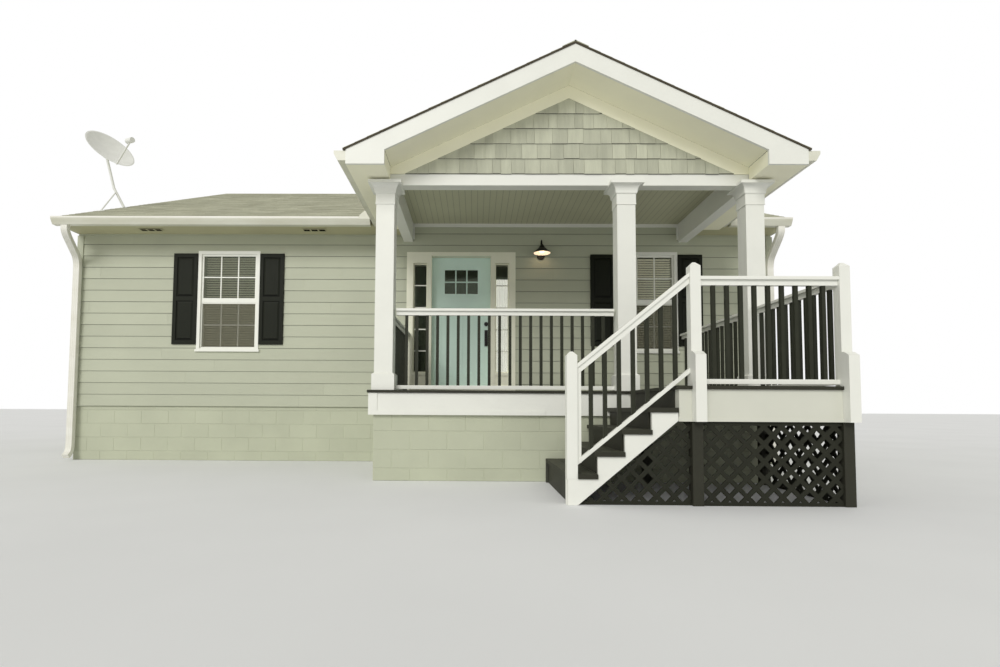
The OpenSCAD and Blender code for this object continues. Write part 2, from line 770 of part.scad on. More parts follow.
module porch_roof() {
  color("#8b8c83") seat() {
    porch_roof_half(1);
    porch_roof_half(-1);
  }
}

module deck_floor() {
  color("#4f5049") seat() difference() {
    box(deck_x0 - plank_out, deck_x1 + plank_out, deck_y0 - plank_out, deck_y1, band_z1, porch_z);
    for (x = [post_x0, post_x1])
      box(x - eps, x + post_w + eps, deck_y0 - 100, deck_y0 + post_w + eps, band_z1 - 10, porch_z + 10);
  }
}

module deck_rim() {
  color("#eae8e0") seat() difference() {
    union() {
      box(deck_x0, deck_x1, deck_y0, deck_y1 - eps, rim_z0, band_z1 - eps);
      box(deck_x0 - 6, deck_x1 + 6, deck_y0 - 6, deck_y1 - eps, rim_z0, rim_z0 + 36);
    }
    box(deck_x0 + rim_t, deck_x1 - rim_t, deck_y0 + rim_t, deck_y1 - rim_t, rim_z0 - 10, porch_z);
    for (x = [post_x0, post_x1])
      box(x - eps, x + post_w + 20, deck_y0 - 100, deck_y0 + post_w + eps, rim_z0 - 10, porch_z);
  }
}

module deck_supports() {
  color("#3b3a36") seat()
    for (x = [post_x0, post_x1], y = [deck_y0 + eps, deck_y1 - rim_t - post_w])
      box(x, x + post_w, y, y + post_w, 0, rim_z0 - eps);
}

module pointed_post(x, y, z0, z1) {
  intersection() {
    along_y(y, y + post_w) polygon([[x, z0], [x + post_w, z0], [x + post_w, z1 - point_h],
      [x + post_w / 2 + 12, z1], [x + post_w / 2 - 12, z1], [x, z1 - point_h]]);
    along_x(x, x + post_w) polygon([[y, z0], [y + post_w, z0], [y + post_w, z1 - point_h],
      [y + post_w / 2 + 12, z1], [y + post_w / 2 - 12, z1], [y, z1 - point_h]]);
  }
}

module deck_posts() {
  color("#f3f2ec") seat()
    for (x = [post_x0, post_x1]) {
      pointed_post(x, deck_y0, rim_z0, post_z);
      along_x(x, x + post_w) polygon([[deck_y0 - eps / 4, rim_z0], [deck_y0 - eps / 4, block_z],
        [deck_y0 - 25, block_z], [deck_y0 - post_w, block_z - 32], [deck_y0 - post_w, rim_z0]]);
    }
}

module newel_post() {
  color("#f3f2ec") seat() difference() {
    pointed_post(newel_x, deck_y0, 0, newel_z);
    box(newel_x - 10, newel_x + post_w + 10, deck_y0 - 10, deck_y0 + rim_t + eps, -1,
      first_rise - tread_t);
  }
}

module stringer_outline() {
  top = concat([for (k = [0:treads - 1]) each [
    [tread_x(k) + (k == 0 ? 0 : nosing), k == 0 ? 0 : tread_z(k - 1) - tread_t - eps],
    [tread_x(k) + (k == 0 ? 0 : nosing), tread_z(k) - tread_t - eps]]],
    [[deck_x0 - 8, tread_z(treads - 1) - tread_t - eps]]);
  polygon(concat(top, [[deck_x0 - 8, rim_z0 + 6], [tread_x(0) + 82, 0]]));
}

module stair_stringers() {
  color("#f0efe8") seat() along_y(deck_y0, deck_y0 + rim_t) stringer_outline();
  color("#45453f") seat() along_y(deck_y1 - rim_t, deck_y1) stringer_outline();
}

module stair_treads() {
  color("#4b4c46") seat() difference() {
    for (k = [0:treads - 1])
      box(tread_x(k), tread_x(k) + step_run + (k < treads - 1 ? nosing - eps : nosing - 9),
        deck_y0 - tread_over, deck_y1, tread_z(k) - tread_t, tread_z(k));
    box(newel_x - 10, newel_x + post_w + eps, deck_y0 - 30, deck_y0 + post_w + eps,
      first_rise - tread_t - 10, porch_z);
  }
}

module stair_risers() {
  color("#3f403b") seat()
    for (k = [0:treads - 1])
      box(tread_x(k) + nosing, tread_x(k) + nosing + riser_t, deck_y0 + rim_t + 53 + eps,
        deck_y1 - rim_t - eps, k == 0 ? 0 : tread_z(k - 1) + eps, tread_z(k) - tread_t - eps);
}

// A straight railing from x0 to x1 along X at the middle line y
module railing(x0, x1, y) {
  n = ceil((x1 - x0) / bal_step) - 1;
  step = (x1 - x0) / (n + 1);
  z0 = porch_z + rail_gap;
  color("#f4f3ec") {
    box(x0, x1, y - rail_cap_w / 2, y + rail_cap_w / 2, rail_top - rail_cap_t, rail_top);
    box(x0, x1, y - rail_bar_w / 2, y + rail_bar_w / 2, rail_top - rail_cap_t - rail_sub_h,
      rail_top - rail_cap_t);
    box(x0, x1, y - rail_bar_w / 2, y + rail_bar_w / 2, z0, z0 + rail_foot_h);
  }
  color("#4a4a44")
    for (i = [1:n])
      translate([x0 + i * step - bal_w / 2, y - bal_w / 2, z0 + rail_foot_h])
        cube([bal_w, bal_w, rail_top - rail_cap_t - rail_sub_h - z0 - rail_foot_h]);
}

module railing_along_y(x, y0, y1) {
  translate([x, 0, 0]) rotate([0, 0, 90]) railing(y0, y1, 0);
}

module bay_railing() {
  seat() railing(side_l + plinth_w / 2 + eps, mid_x - plinth_w / 2 - eps, col_y);
}

module side_railing() {
  seat() railing_along_y(side_l, col_y + plinth_w / 2 + eps, -trim_t - eps);
}

module deck_railing() {
  seat() railing(post_x0 + post_w + eps, post_x1 - eps, deck_y0 + post_w / 2);
}

module deck_side_railing() {
  seat() {
    railing_along_y(post_x1 + post_w / 2, deck_y0 + post_w + eps, col_y - plinth_w / 2 - eps);
    railing_along_y(post_x1 + post_w / 2, col_y + plinth_w / 2 + eps, -shutter_t - 8);
  }
}

// A bar that climbs with the steps from the foot post to the deck post
module stair_bar(z0, z1, w) {
  x0 = newel_x + post_w + eps;
  x1 = post_x0 - eps;
  up = (x1 - x0) * stair_k;
  y = deck_y0 + post_w / 2;
  along_y(y - w / 2, y + w / 2) polygon([[x0, z0], [x1, z0 + up], [x1, z1 + up], [x0, z1]]);
}

module stair_railing() {
  x0 = newel_x + post_w + eps;
  n = stair_bals;
  step = (post_x0 - eps - x0) / (n + 1);
  y = deck_y0 + post_w / 2;
  top = stair_rail_z;
  foot = stair_foot_z;
  color("#f4f3ec") seat() {
    stair_bar(top - rail_cap_t - 5, top, 70);
    stair_bar(top - rail_cap_t - 5 - 58, top - rail_cap_t - 5, rail_bar_w);
    stair_bar(foot - stair_foot_h, foot, rail_bar_w);
    box(x0, x0 + 36, y - rail_bar_w / 2, y + rail_bar_w / 2, foot - 30, top - 30);
  }
  color("#4a4a44") seat()
    for (i = [1:n])
      let (x = x0 + i * step, z = (x - x0) * stair_k)
        box(x - bal_w / 2, x + bal_w / 2, y - bal_w / 2, y + bal_w / 2, foot - 20 + z, top - 80 + z);
}

// Crossed bars that fill the outline given as child, in X and Z
module lattice_panel(w, h) {
  intersection() {
    children();
    union()
      for (s = [-1, 1], i = [-ceil(h / lath_step):ceil((w + h) / lath_step)])
        translate([i * lath_step, 0]) rotate(s * 45)
          translate([-h * 2, -lath_w / 2]) square([h * 4, lath_w]);
  }
}

// A lattice panel in a frame of bars along its foot and head
module framed_lattice(w, h) {
  lattice_panel(w, h) square([w, h]);
  square([w, 30]);
  translate([0, h - 30]) square([w, 30]);
}

module deck_lattice() {
  w = post_x1 - post_x0 - post_w - 4;
  color("#35342f") seat() translate([post_x0 + post_w + 2, 0, 0])
    along_y(deck_y0 + 20, deck_y0 + 20 + lath_t) framed_lattice(w, rim_z0 - 2);
}

module side_lattice() {
  w = deck_y1 - rim_t - post_w - deck_y0 - post_w - 4;
  color("#35342f") seat() translate([0, deck_y0 + post_w + 2, 0])
    along_x(deck_x1 - 40, deck_x1 - 40 + lath_t) framed_lattice(w, rim_z0 - 2);
}

// The triangle under the steps
module stair_lattice() {
  x0 = tread_x(0) + 92;
  w = post_x0 - x0 - 2;
  h = rim_z0 - 2;
  color("#35342f") seat() translate([x0, 0, 0]) along_y(deck_y0 + rim_t + 4, deck_y0 + rim_t + 4 + lath_t)
    intersection() {
      union() {
        lattice_panel(w, h) square([w, h]);
        square([w, 30]);
      }
      polygon([[0, 0], [w, 0], [w, h], [w - 60, h], [0, 30]]);
    }
}

// A window unit in a wall whose face is the plane Y = 0
module window_unit() {
  half = win_w / 2;
  ih = half - casing_w;
  zm = (win_z0 + win_z1) / 2 + 13;
  difference() {
    union() {
      box(-half, half, -trim_t, -eps / 4, win_z0, win_z1);
      box(-half - 15, half + 15, -trim_t - 14, -eps / 4, win_z0, win_z0 + 32);
      box(-half + 40 + eps, half - 40 - eps, -eps, wall_t, win_z0 + 40 + eps, win_z1 - 40 - eps);
    }
    box(-ih, ih, -100, sash_in, win_z0 + casing_w, win_z1 - casing_w);
    box(-ih, ih, sash_in + 2 * sash_t - 1, wall_t + 10, win_z0 + casing_w, win_z1 - casing_w);
    box(-ih + sash_w, ih - sash_w, -100, wall_t + 10, win_z0 + casing_w + sash_w, zm - meet_h / 2);
    box(-ih + sash_w, ih - sash_w, -100, wall_t + 10, zm + meet_h / 2, win_z1 - casing_w - sash_w);
    box(-ih, ih, -100, sash_in + sash_t - 1, win_z0 + casing_w, zm - meet_h / 2);
    box(-ih, ih, sash_in + sash_t, wall_t + 10, zm + meet_h / 2, win_z1 - casing_w);
  }
}

module window_panes() {
  ih = win_w / 2 - casing_w - sash_w;
  zm = (win_z0 + win_z1) / 2 + 13;
  box(-ih - 8, ih + 8, pane_y1, pane_y1 + glass_t, win_z0 + casing_w + sash_w - 8, zm - meet_h / 2 + 8);
  box(-ih - 8, ih + 8, pane_y0, pane_y0 + glass_t, zm + meet_h / 2 - 8, win_z1 - casing_w - sash_w + 8);
}

// A window unit with the grooves that hold its glass, a little wider than the glass
module window_frame() {
  ih = win_w / 2 - casing_w - sash_w;
  zm = (win_z0 + win_z1) / 2 + 13;
  difference() {
    window_unit();
    box(-ih - 9, ih + 9, pane_y1 - eps, pane_y1 + glass_t + eps, win_z0 + casing_w + sash_w - 9,
      zm - meet_h / 2 + 9);
    box(-ih - 9, ih + 9, pane_y0 - eps, pane_y0 + glass_t + eps, zm + meet_h / 2 - 9,
      win_z1 - casing_w - sash_w + 9);
  }
}

module at_front_windows() {
  for (x = [win_left_x, win_right_x])
    translate([x, 0, 0]) children();
}

module at_side_windows(s) {
  for (y = side_win_y)
    translate([s * wx, y, 0]) rotate([0, 0, s * 90]) children();
}

module at_back_windows() {
  for (x = back_win_x)
    translate([x, house_d, 0]) rotate([0, 0, 180]) children();
}

module at_windows() {
  at_front_windows() children();
  at_side_windows(-1) children();
  at_side_windows(1) children();
  at_back_windows() children();
}

module window_frames() {
  color("#f4f3ee") seat() at_windows() window_frame();
}

// Panes of the windows and of the two side lights
module window_glass() {
  color("#b8c4c6") seat() {
    at_windows() window_panes();
    for (s = [0, 1])
      translate([door_x, 0, 0]) mirror([s, 0, 0])
        box(side_light_x - 8, side_light_x + light_w + 8, 60, 60 + glass_t, light_z0 - 8, light_z1 + 8);
  }
}

module shutter() {
  z0 = win_z0 + 108;
  difference() {
    box(0, shutter_w, -shutter_t - 2, -2, z0, z0 + shutter_h);
    for (z = [z0 + 60, z0 + shutter_h / 2 + 33])
      box(55, shutter_w - 55, -shutter_t - 10, -shutter_t + 6, z, z + shutter_h / 2 - 93);
  }
}

module shutters() {
  color("#2f3031") seat()
    for (x = [win_left_x, win_right_x], s = [0, 1])
      translate([x, 0, 0]) mirror([s, 0, 0]) translate([win_w / 2 + 3, 0, 0]) shutter();
}

module door_frame() {
  z0 = floor_z - 19;
  color("#e4e2d5") seat() difference() {
    union() {
      box(entry_x0, entry_x1, -trim_t, -eps / 4, z0, entry_z);
      box(rough_x0 + 2 * eps, rough_x1 - 2 * eps, -eps, wall_t, z0, rough_z - eps);
    }
    box(door_x - door_w / 2 - 6, door_x + door_w / 2 + door_gap, door_y - 4, wall_t + 10,
      floor_z + 2, door_z + door_h + 6);
    box(door_x - door_w / 2 + 12, door_x + door_w / 2 - 12, -100, door_y, floor_z + 2,
      door_z + door_h - 12);
    for (s = [0, 1])
      translate([door_x, 0, 0]) mirror([s, 0, 0]) {
        box(side_light_x, side_light_x + light_w, -100, wall_t + 10, light_z0, light_z1);
        box(side_light_x - 9, side_light_x + light_w + 9, 59, 61 + glass_t, light_z0 - 9, light_z1 + 9);
        box(side_light_x - 14, side_light_x + light_w + 14, -100, 35, light_z0 - 14, light_z1 + 14);
        box(side_light_x - 14, side_light_x + light_w + 14, -100, -8, floor_z + 60, light_z0 - 60);
      }
  }
}

module front_door() {
  x0 = door_x - door_w / 2;
  color("#9fc0b6") seat() difference() {
    box(x0, x0 + door_w, door_y, door_y + door_t, door_z, door_z + door_h);
    box(lite_x0, lite_x0 + lite_w, door_y - 10, door_y + door_t + 10, lite_z, lite_z + lite_h);
    box(lite_x0 - 9, lite_x0 + lite_w + 9, door_y + 17, door_y + 19 + glass_t, lite_z - 9,
      lite_z + lite_h + 9);
    for (s = [0, 1])
      box(x0 + 150 + s * 330, x0 + 150 + s * 330 + 284, door_y - 10, door_y + 8, door_z + 240, 2330);
  }
}

// Three hinges: barrels on the turning line, with a wing on the leaf's inner face
module door_hinges() {
  color("#3a3833") seat()
    for (z = [door_z + 180, door_z + door_h / 2, door_z + door_h - 180]) {
      translate([hinge_x, hinge_y, z - 50]) cylinder(r = hinge_r, h = 100);
      box(hinge_x, hinge_x + 45, wall_t + eps / 4, wall_t + 4, z - 45, z + 45);
    }
}

module door_glass() {
  color("#c7d2d4") seat() box(lite_x0 - 8, lite_x0 + lite_w + 8, door_y + 18, door_y + 18 + glass_t,
    lite_z - 8, lite_z + lite_h + 8);
}

module door_handle() {
  x = door_x + door_w / 2 - lock_in;
  color("#20201f") seat() {
    // outside: the lock above and the pull below on its plate
    translate([x, door_y - eps / 4, lock_z]) rotate([90, 0, 0]) cylinder(r = 31, h = 20);
    box(x - 24, x + 24, door_y - 10, door_y - eps / 4, pull_z, pull_z + pull_h);
    for (z = [pull_z + 30, pull_z + pull_h - 30])
      box(x - 9, x + 9, door_y - 46, door_y - 9, z - 9, z + 9);
    box(x - 11, x + 11, door_y - 58, door_y - 45, pull_z + 12, pull_z + pull_h - 12);
    // inside: the turn of the lock and a knob
    translate([x, door_y + door_t + eps / 4 + 16, lock_z]) rotate([90, 0, 0]) cylinder(r = 28, h = 16);
    translate([x, door_y + door_t + eps / 4 + 60, knob_z]) rotate([90, 0, 0]) rotate_extrude()
      polygon([[0, 0], [20, 0], [29, 10], [29, 26], [14, 36], [12, 50], [30, 52], [30, 60], [0, 60]]);
  }
}

// A wall plate, an arm that bends over, and an open shade; y runs out from the wall
module porch_light() {
  y = -lamp_out;
  bend = (lamp_out - 32) / 2;
  color("#1c1c1b") seat() translate([porch_x + lamp_x, 0, 0]) {
    translate([0, -eps / 4, lamp_z]) rotate([90, 0, 0]) cylinder(r = 60, h = 22);
    translate([0, -20, lamp_z]) rotate([90, 0, 0]) cylinder(r = 14, h = 20);
    translate([0, -32, lamp_z]) cylinder(r = 9, h = 156);
    translate([0, -32 - bend, lamp_z + 150]) rotate([90, 0, 90]) rotate_extrude(angle = 180)
      translate([bend, 0]) circle(r = 8);
    translate([0, y, lamp_z + 120]) cylinder(r = 9, h = 36);
    translate([0, y, lamp_z]) rotate_extrude() polygon([
      [0, 134], [20, 134], [24, 122], [34, 110], [50, 82], [82, 52], [114, 22], [lamp_r, 3],
      [lamp_r - 4, 3], [110, 19], [78, 48], [46, 78], [30, 106], [0, 106]]);
  }
}

module light_bulb() {
  color("#ffe2a8") seat() translate([porch_x + lamp_x, -lamp_out, lamp_z]) {
    translate([0, 0, 60]) cylinder(r = 14, h = 45);
    translate([0, 0, 38]) sphere(r = 36);
  }
}

// A round bar from point p to point q
module rod(p, q, r) {
  d = q - p;
  translate(p) rotate([0, acos(d[2] / norm(d)), atan2(d[1], d[0])]) cylinder(r = r, h = norm(d));
}

// A shallow bowl that looks up and to the right, on a bent mast with a stay
module roof_dish() {
  foot = [-wx + mast_in, mast_y, roof_at(mast_y)];
  stay = [-wx + mast_in - 10, stay_y, roof_at(stay_y)];
  color("#b4b3ad") seat() {
    for (p = [foot, stay])
      translate(p + [0, 0, 6]) rotate([roof_angle, 0, 0]) cylinder(r = mast_r * 2.6, h = 8);
    rod(foot + [0, 0, 17], foot + mast_knee, mast_r);
    translate(foot + mast_knee) sphere(r = mast_r + 2);
    rod(foot + mast_knee, foot + mast_top, mast_r);
    rod(stay + [0, 0, 14], foot + mast_knee * 0.8, 11);
    translate(foot + mast_top) rotate([0, dish_tilt, -dish_turn]) dish_bowl();
  }
}

// Bowl with its rim towards +Z, its bracket behind it and an arm to the receiver before it
module dish_bowl() {
  r = ((dish_w / 2) ^ 2 + dish_deep ^ 2) / (2 * dish_deep);
  rim = bracket_l + dish_deep;
  translate([0, 0, -40]) cylinder(r = 45, h = bracket_l + 45);
  intersection() {
    translate([0, 0, bracket_l + r]) difference() {
      sphere(r = r, $fn = 240);
      sphere(r = r - dish_t, $fn = 240);
    }
    translate([0, 0, bracket_l - 10]) cylinder(r = dish_w / 2, h = dish_deep + 10, $fn = 240);
  }
  tip = [dish_w * 0.46, 0, bracket_l + dish_arm];
  rod([dish_w * 0.49, 0, rim - 12], tip, 12);
  rod(tip + [25, 0, 30], tip - [70, 0, 84], 42);
}

house_foundation();
house_floor();
front_wall_left();
front_wall_right();
front_wall_at_door();
left_wall();
right_wall();
back_wall();
corner_boards();
frieze_boards();
house_ceiling();
main_roof_front();
main_roof_back();
eaves();
gutters();
downspouts();
porch_foundation();
porch_band();
porch_floor();
porch_columns();
porch_beams();
porch_ceiling();
gable_wall();
gable_trim();
rake_boards();
porch_eaves();
porch_roof();
deck_floor();
deck_rim();
deck_supports();
deck_posts();
newel_post();
stair_stringers();
stair_treads();
stair_risers();
bay_railing();
side_railing();
deck_railing();
deck_side_railing();
stair_railing();
deck_lattice();
side_lattice();
stair_lattice();
window_frames();
window_glass();
shutters();
door_frame();
front_door();
door_glass();
door_handle();
door_hinges();
porch_light();
light_bulb();
roof_dish();
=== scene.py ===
"""Looks of a bungalow: boards, shingles, blocks, rails, glass and paint over its solids.

Metres. X runs to the right along the front, Y back into the house, Z up from the ground.
New pieces are whole arrays of flat slabs set out on planes, or profiles carried along paths.
"""
import math

import bpy
import numpy as np
from mathutils import Matrix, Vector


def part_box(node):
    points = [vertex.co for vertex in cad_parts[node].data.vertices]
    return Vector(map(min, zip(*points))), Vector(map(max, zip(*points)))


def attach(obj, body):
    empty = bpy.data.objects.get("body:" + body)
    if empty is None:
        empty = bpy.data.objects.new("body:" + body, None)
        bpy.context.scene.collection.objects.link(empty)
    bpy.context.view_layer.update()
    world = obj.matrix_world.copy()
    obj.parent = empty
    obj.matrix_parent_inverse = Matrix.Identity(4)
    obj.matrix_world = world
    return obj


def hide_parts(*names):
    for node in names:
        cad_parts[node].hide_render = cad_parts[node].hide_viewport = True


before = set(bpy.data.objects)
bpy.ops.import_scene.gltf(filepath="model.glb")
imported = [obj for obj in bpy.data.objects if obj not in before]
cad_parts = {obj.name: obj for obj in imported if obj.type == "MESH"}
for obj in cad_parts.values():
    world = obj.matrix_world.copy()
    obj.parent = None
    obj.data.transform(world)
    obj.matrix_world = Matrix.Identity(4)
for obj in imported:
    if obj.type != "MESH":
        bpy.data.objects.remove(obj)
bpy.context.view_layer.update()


def corner(node):
    """Lowest and highest corner of a solid as two arrays."""
    lo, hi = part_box(node)
    return np.array(lo), np.array(hi)


def middle(node):
    """Middle of a solid's box."""
    return sum(corner(node)) / 2


# ---- places read from the solids
FRONT_Y, SIDING_Z = corner("front_wall_left")[0][1:]
BACK_Y = corner("back_wall")[1][1]
LEFT_X, RIGHT_X = corner("left_wall")[0][0], corner("right_wall")[1][0]
RIDGE_Y, RIDGE_Z = corner("main_roof_front")[1][1:]
GABLE_LO, GABLE_HI = corner("gable_wall")
PORCH_X = middle("gable_wall")[0]
FLOOR_LO, FLOOR_HI = corner("porch_floor")
BEAM_LO, BEAM_HI = corner("porch_beams")
ENTRY_LO, ENTRY_HI = corner("door_frame")
PANE_LO, PANE_HI = corner("door_glass")
EAVE_UNDER = corner("eaves")[0][2]
CEILING_TOP = corner("porch_ceiling")[1][2]
STAIR_MID = middle("stair_stringers")[1]
COLUMN_MID = middle("porch_columns")[1]
RAIL_TOP = corner("bay_railing")[1][2]

# ---- sizes set here
SEAT = -FRONT_Y                              # the siding's face stands this far before Y = 0
LAP, LAP_FIRST = 0.1754, SIDING_Z + 0.001    # exposure and first foot of the siding boards
SHAKE_LAP = 0.1745                           # exposure of a shingle in the gable
TAB_LAP = 0.143                              # exposure of a roof shingle
BLOCK_H, BLOCK_L = 0.2035, 0.4064
ROOF_SLOPE = math.tan(math.radians(24.44))
GABLE_SLOPE = math.tan(math.radians(25.34))
EAVE_OUT, GUTTER_D = 0.45, 0.125             # overhang of the front eave, depth of its gutter
DOOR_MID = 0.586
SIDE_LIGHT = 0.457 + 0.008 + 0.063 + 0.090   # half leaf, gap, jamb and half pane
WINDOW_HALF = 0.4695                         # half the outer width of a window's casing
HOLE_HALF, HOLE_Z = 0.4595, (1.639, 3.151)   # the hole in the siding at each window
CASING, SASH = 0.048, 0.029                  # widths of the casing and of a sash bar
SASH_HALF = WINDOW_HALF - CASING - SASH
LOWER, UPPER = (1.706, 2.3725), (2.4435, 3.084)
LOWER_PANE, UPPER_PANE = 0.050, 0.018        # distances of the panes behind the wall's face
SHUTTER_HALF = 0.1825
BAR_HALF = 0.010                             # half the width of a bar over glass
CAP_W, CAP_T = 0.088, 0.029                  # a railing's cap, ...
BAR_W, SUB_H, FOOT_H, FOOT_GAP = 0.040, 0.047, 0.041, 0.018   # ... bars under it and at the foot,
BAL_W, BAL_STEP = 0.032, 0.120               # ... and balusters
TREADS, RISE, FIRST_RISE, STEP_RUN = 4, 0.184, 0.254, 0.2245
POST_W, COLUMN_ROOM, BOARD_GAP = 0.089, 0.127, 0.004


# ---- shapes
class Plane:
    """A flat field: a point is origin + u * across + v * up, and out is across x up."""

    def __init__(self, origin, across, up=(0, 0, 1)):
        self.o, self.u, self.v = (np.array(a, float) for a in (origin, across, up))
        self.u /= np.linalg.norm(self.u)
        self.v /= np.linalg.norm(self.v)
        self.n = np.cross(self.u, self.v)

    def at(self, u, v, w=0.0):
        """origin + u * across + v * up + w * out, for arrays of any one shape."""
        u, v, w = np.broadcast_arrays(u, v, w)
        return self.o + u[..., None] * self.u + v[..., None] * self.v + w[..., None] * self.n

    def back(self, depth):
        """The same plane, moved in by a depth."""
        return Plane(self.at(0.0, 0.0, -depth), self.u, self.v)


def facing(side, place):
    """The upright plane at a place along Y or X whose outer side faces that side of the house."""
    across = {"front": (1, 0, 0), "back": (-1, 0, 0), "left": (0, -1, 0), "right": (0, 1, 0)}[side]
    return Plane((0, place, 0) if side in ("front", "back") else (place, 0, 0), across)


front, back = facing("front", FRONT_Y), facing("back", BACK_Y)
left, right = facing("left", LEFT_X), facing("right", RIGHT_X)
FRONT_WINDOWS, SIDE_WINDOWS = (-2.930, 3.368), (2.5 - SEAT, 7.4 - SEAT)
WINDOWS = ((front, FRONT_WINDOWS), (back, (3.3, 0.0, -3.3)),      # their middles across each wall
           (left, [-y for y in SIDE_WINDOWS]), (right, SIDE_WINDOWS))

SLAB_FACES = np.array([[4, 5, 6, 7], [3, 2, 1, 0], [0, 1, 5, 4],
                       [1, 2, 6, 5], [2, 3, 7, 6], [3, 0, 4, 7]])
# the lower edge face of each toned slab is marked so that its paint darkens it: painted shade
UNDERSIDE = 2    # row of SLAB_FACES that is a slab's lower edge
UNDER_SHADE = 3.0       # added to the tone of that face, so that its paint can darken there


def slabs(plane, u, v, lift, sink=0.002, inset=0.0):
    """One closed slab for each row of four corners (u, v), counted round from the lower left:
    its back lies sink behind the plane, its front stands lift before it, drawn in by inset."""
    lift = np.broadcast_to(np.asarray(lift, float), u.shape)
    draw, rise = inset * np.array([1, -1, -1, 1]), inset * np.array([1, 1, -1, -1])
    points = np.concatenate([plane.at(u, v, -sink), plane.at(u + draw, v + rise, lift)], axis=1)
    faces = SLAB_FACES[None] + 8 * np.arange(len(u))[:, None, None]
    return points.reshape(-1, 3), faces.reshape(-1, 4), ()


def rects(u0, u1, v0, v1):
    """Rows of four corners of rectangles from their limits, numbers or arrays."""
    limits = (np.atleast_1d(np.asarray(a, float)) for a in (u0, u1, v0, v1))
    u0, u1, v0, v1 = np.broadcast_arrays(*limits)
    return np.stack([u0, u1, u1, u0], -1), np.stack([v0, v0, v1, v1], -1)


def plates(plane, u0, u1, v0, v1, lift, inset=0.0, sink=0.0):
    """Slabs over rectangles."""
    return slabs(plane, *rects(u0, u1, v0, v1), lift, sink, inset)


def boxes(lo, hi):
    """Closed boxes between rows of lowest and highest corners."""
    (x0, y0, z0), (x1, y1, z1) = (np.atleast_2d(np.asarray(p, float)).T for p in (lo, hi))
    return slabs(facing("front", 0.0), *rects(x0, x1, z0, z1), -y0[:, None], y1[:, None])


def carried(profile, path, across, up=(0, 0, 1)):
    """A closed profile (a, b) carried along a path: point = path + a * across + b * up.
    across and up may be one vector or one for each point of the path. Both ends are closed."""
    profile, path = np.asarray(profile, float), np.asarray(path, float)
    across, up = (np.broadcast_to(np.asarray(x, float), path.shape) for x in (across, up))
    a, b = profile[None, :, :1], profile[None, :, 1:]
    ring = path[:, None] + a * across[:, None] + b * up[:, None]
    n, m = len(profile), len(path)
    i, j = np.meshgrid(np.arange(m - 1), np.arange(n), indexing="ij")
    a, b = i * n + j, i * n + (j + 1) % n
    sides = np.stack([a, b, b + n, a + n], -1).reshape(-1, 4)
    return ring.reshape(-1, 3), sides, (list(range(n))[::-1], [(m - 1) * n + k for k in range(n)])


def turned(profile, centre, count=48):
    """A closed section (r, z), listed with its inside on the left, turned about the upright line
    through centre: point = centre + (r cos t, r sin t, z)."""
    t = np.linspace(0, 2 * np.pi, count, endpoint=False)
    r, z = profile[:, 0], profile[:, 1]
    points = np.stack([np.cos(t)[:, None] * r, np.sin(t)[:, None] * r,
                       np.broadcast_to(z, (count, len(r)))], -1)
    j, i = np.meshgrid(np.arange(count), np.arange(len(r)), indexing="ij")
    j, j1, i1 = j * len(r), (j + 1) % count * len(r), (i + 1) % len(r)
    faces = np.stack([j + i, j1 + i, j1 + i1, j + i1], -1)
    return points.reshape(-1, 3) + centre, faces.reshape(-1, 4), ()


def bent(corners, radius, steps):
    """A path through corners whose inner ones are rounded: each turn is the curve
    (1 - t)^2 a + 2 t (1 - t) corner + t^2 b between points a radius before and after it."""
    corners = np.asarray(corners, float)
    t = np.linspace(0, 1, steps)[:, None]
    path = [corners[:1]]
    for before, at, after in zip(corners[:-2], corners[1:-1], corners[2:]):
        a, b = (at + (p - at) * min(0.5, radius / np.linalg.norm(p - at)) for p in (before, after))
        path.append((1 - t) ** 2 * a + 2 * t * (1 - t) * at + t ** 2 * b)
    return np.concatenate(path + [corners[-1:]])


def placed(name, data):
    """A new object in the scene."""
    obj = bpy.data.objects.new(name, data)
    bpy.context.scene.collection.objects.link(obj)
    return obj


def piece(name, parts, finish, body="house", tones=(), replaces=()):
    """Joins parts, each of them points, faces and caps, into one mesh that rides on a body. Each
    slab may have a tone, a number kept on its faces for its paint, and more on its lower edge face,
    where the paint puts painted shade."""
    points, faces, caps, base = [], [], [], 0
    for p, f, ends in parts:
        points.append(p)
        faces.append(f + base)
        caps += [[c + base for c in cap] for cap in ends]
        base += len(p)
    mesh = bpy.data.meshes.new(name)
    mesh.from_pydata(np.concatenate(points).tolist(), [], np.concatenate(faces).tolist() + caps)
    if tones:
        shades = np.concatenate(tones)[:, None] + np.where(np.arange(6) == UNDERSIDE, UNDER_SHADE, 0.0)
        layer = mesh.attributes.new("tone", "FLOAT", "FACE")
        layer.data.foreach_set("value", shades.ravel().astype(np.float32))
    mesh.materials.append(FINISHES[finish])
    mesh.validate()
    obj = placed(name, mesh)
    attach(obj, body)
    if replaces:
        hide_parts(*replaces)


def toned(name, made, finish):
    """A piece made of pairs of slabs and their tones."""
    piece(name, [m[0] for m in made], finish, tones=[m[1] for m in made])


# ---- finishes
def lin(rgb, k=1.0):
    """Display colour, 0 to 255, as linear light times k, none of its parts over 1."""
    linear = (c / 255 / 12.92 if c <= 10 else ((c / 255 + 0.055) / 1.055) ** 2.4 for c in rgb)
    return tuple(min(1.0, c * k) for c in linear) + (1.0,)


FINISHES = {}     # the materials by name


def give(tree, socket, value):
    """Links a socket to an input, or sets the input to a number or colour directly."""
    if isinstance(value, bpy.types.NodeSocket):
        tree.links.new(value, socket)
    else:
        socket.default_value = value


def add(tree, kind, inputs=(), **settings):
    """A new shader node, whose inputs are given by name or place."""
    n = tree.nodes.new("ShaderNode" + kind)
    for key, value in settings.items():
        setattr(n, key, value)
    for key, value in dict(inputs).items():
        give(tree, n.inputs[key], value)
    return n


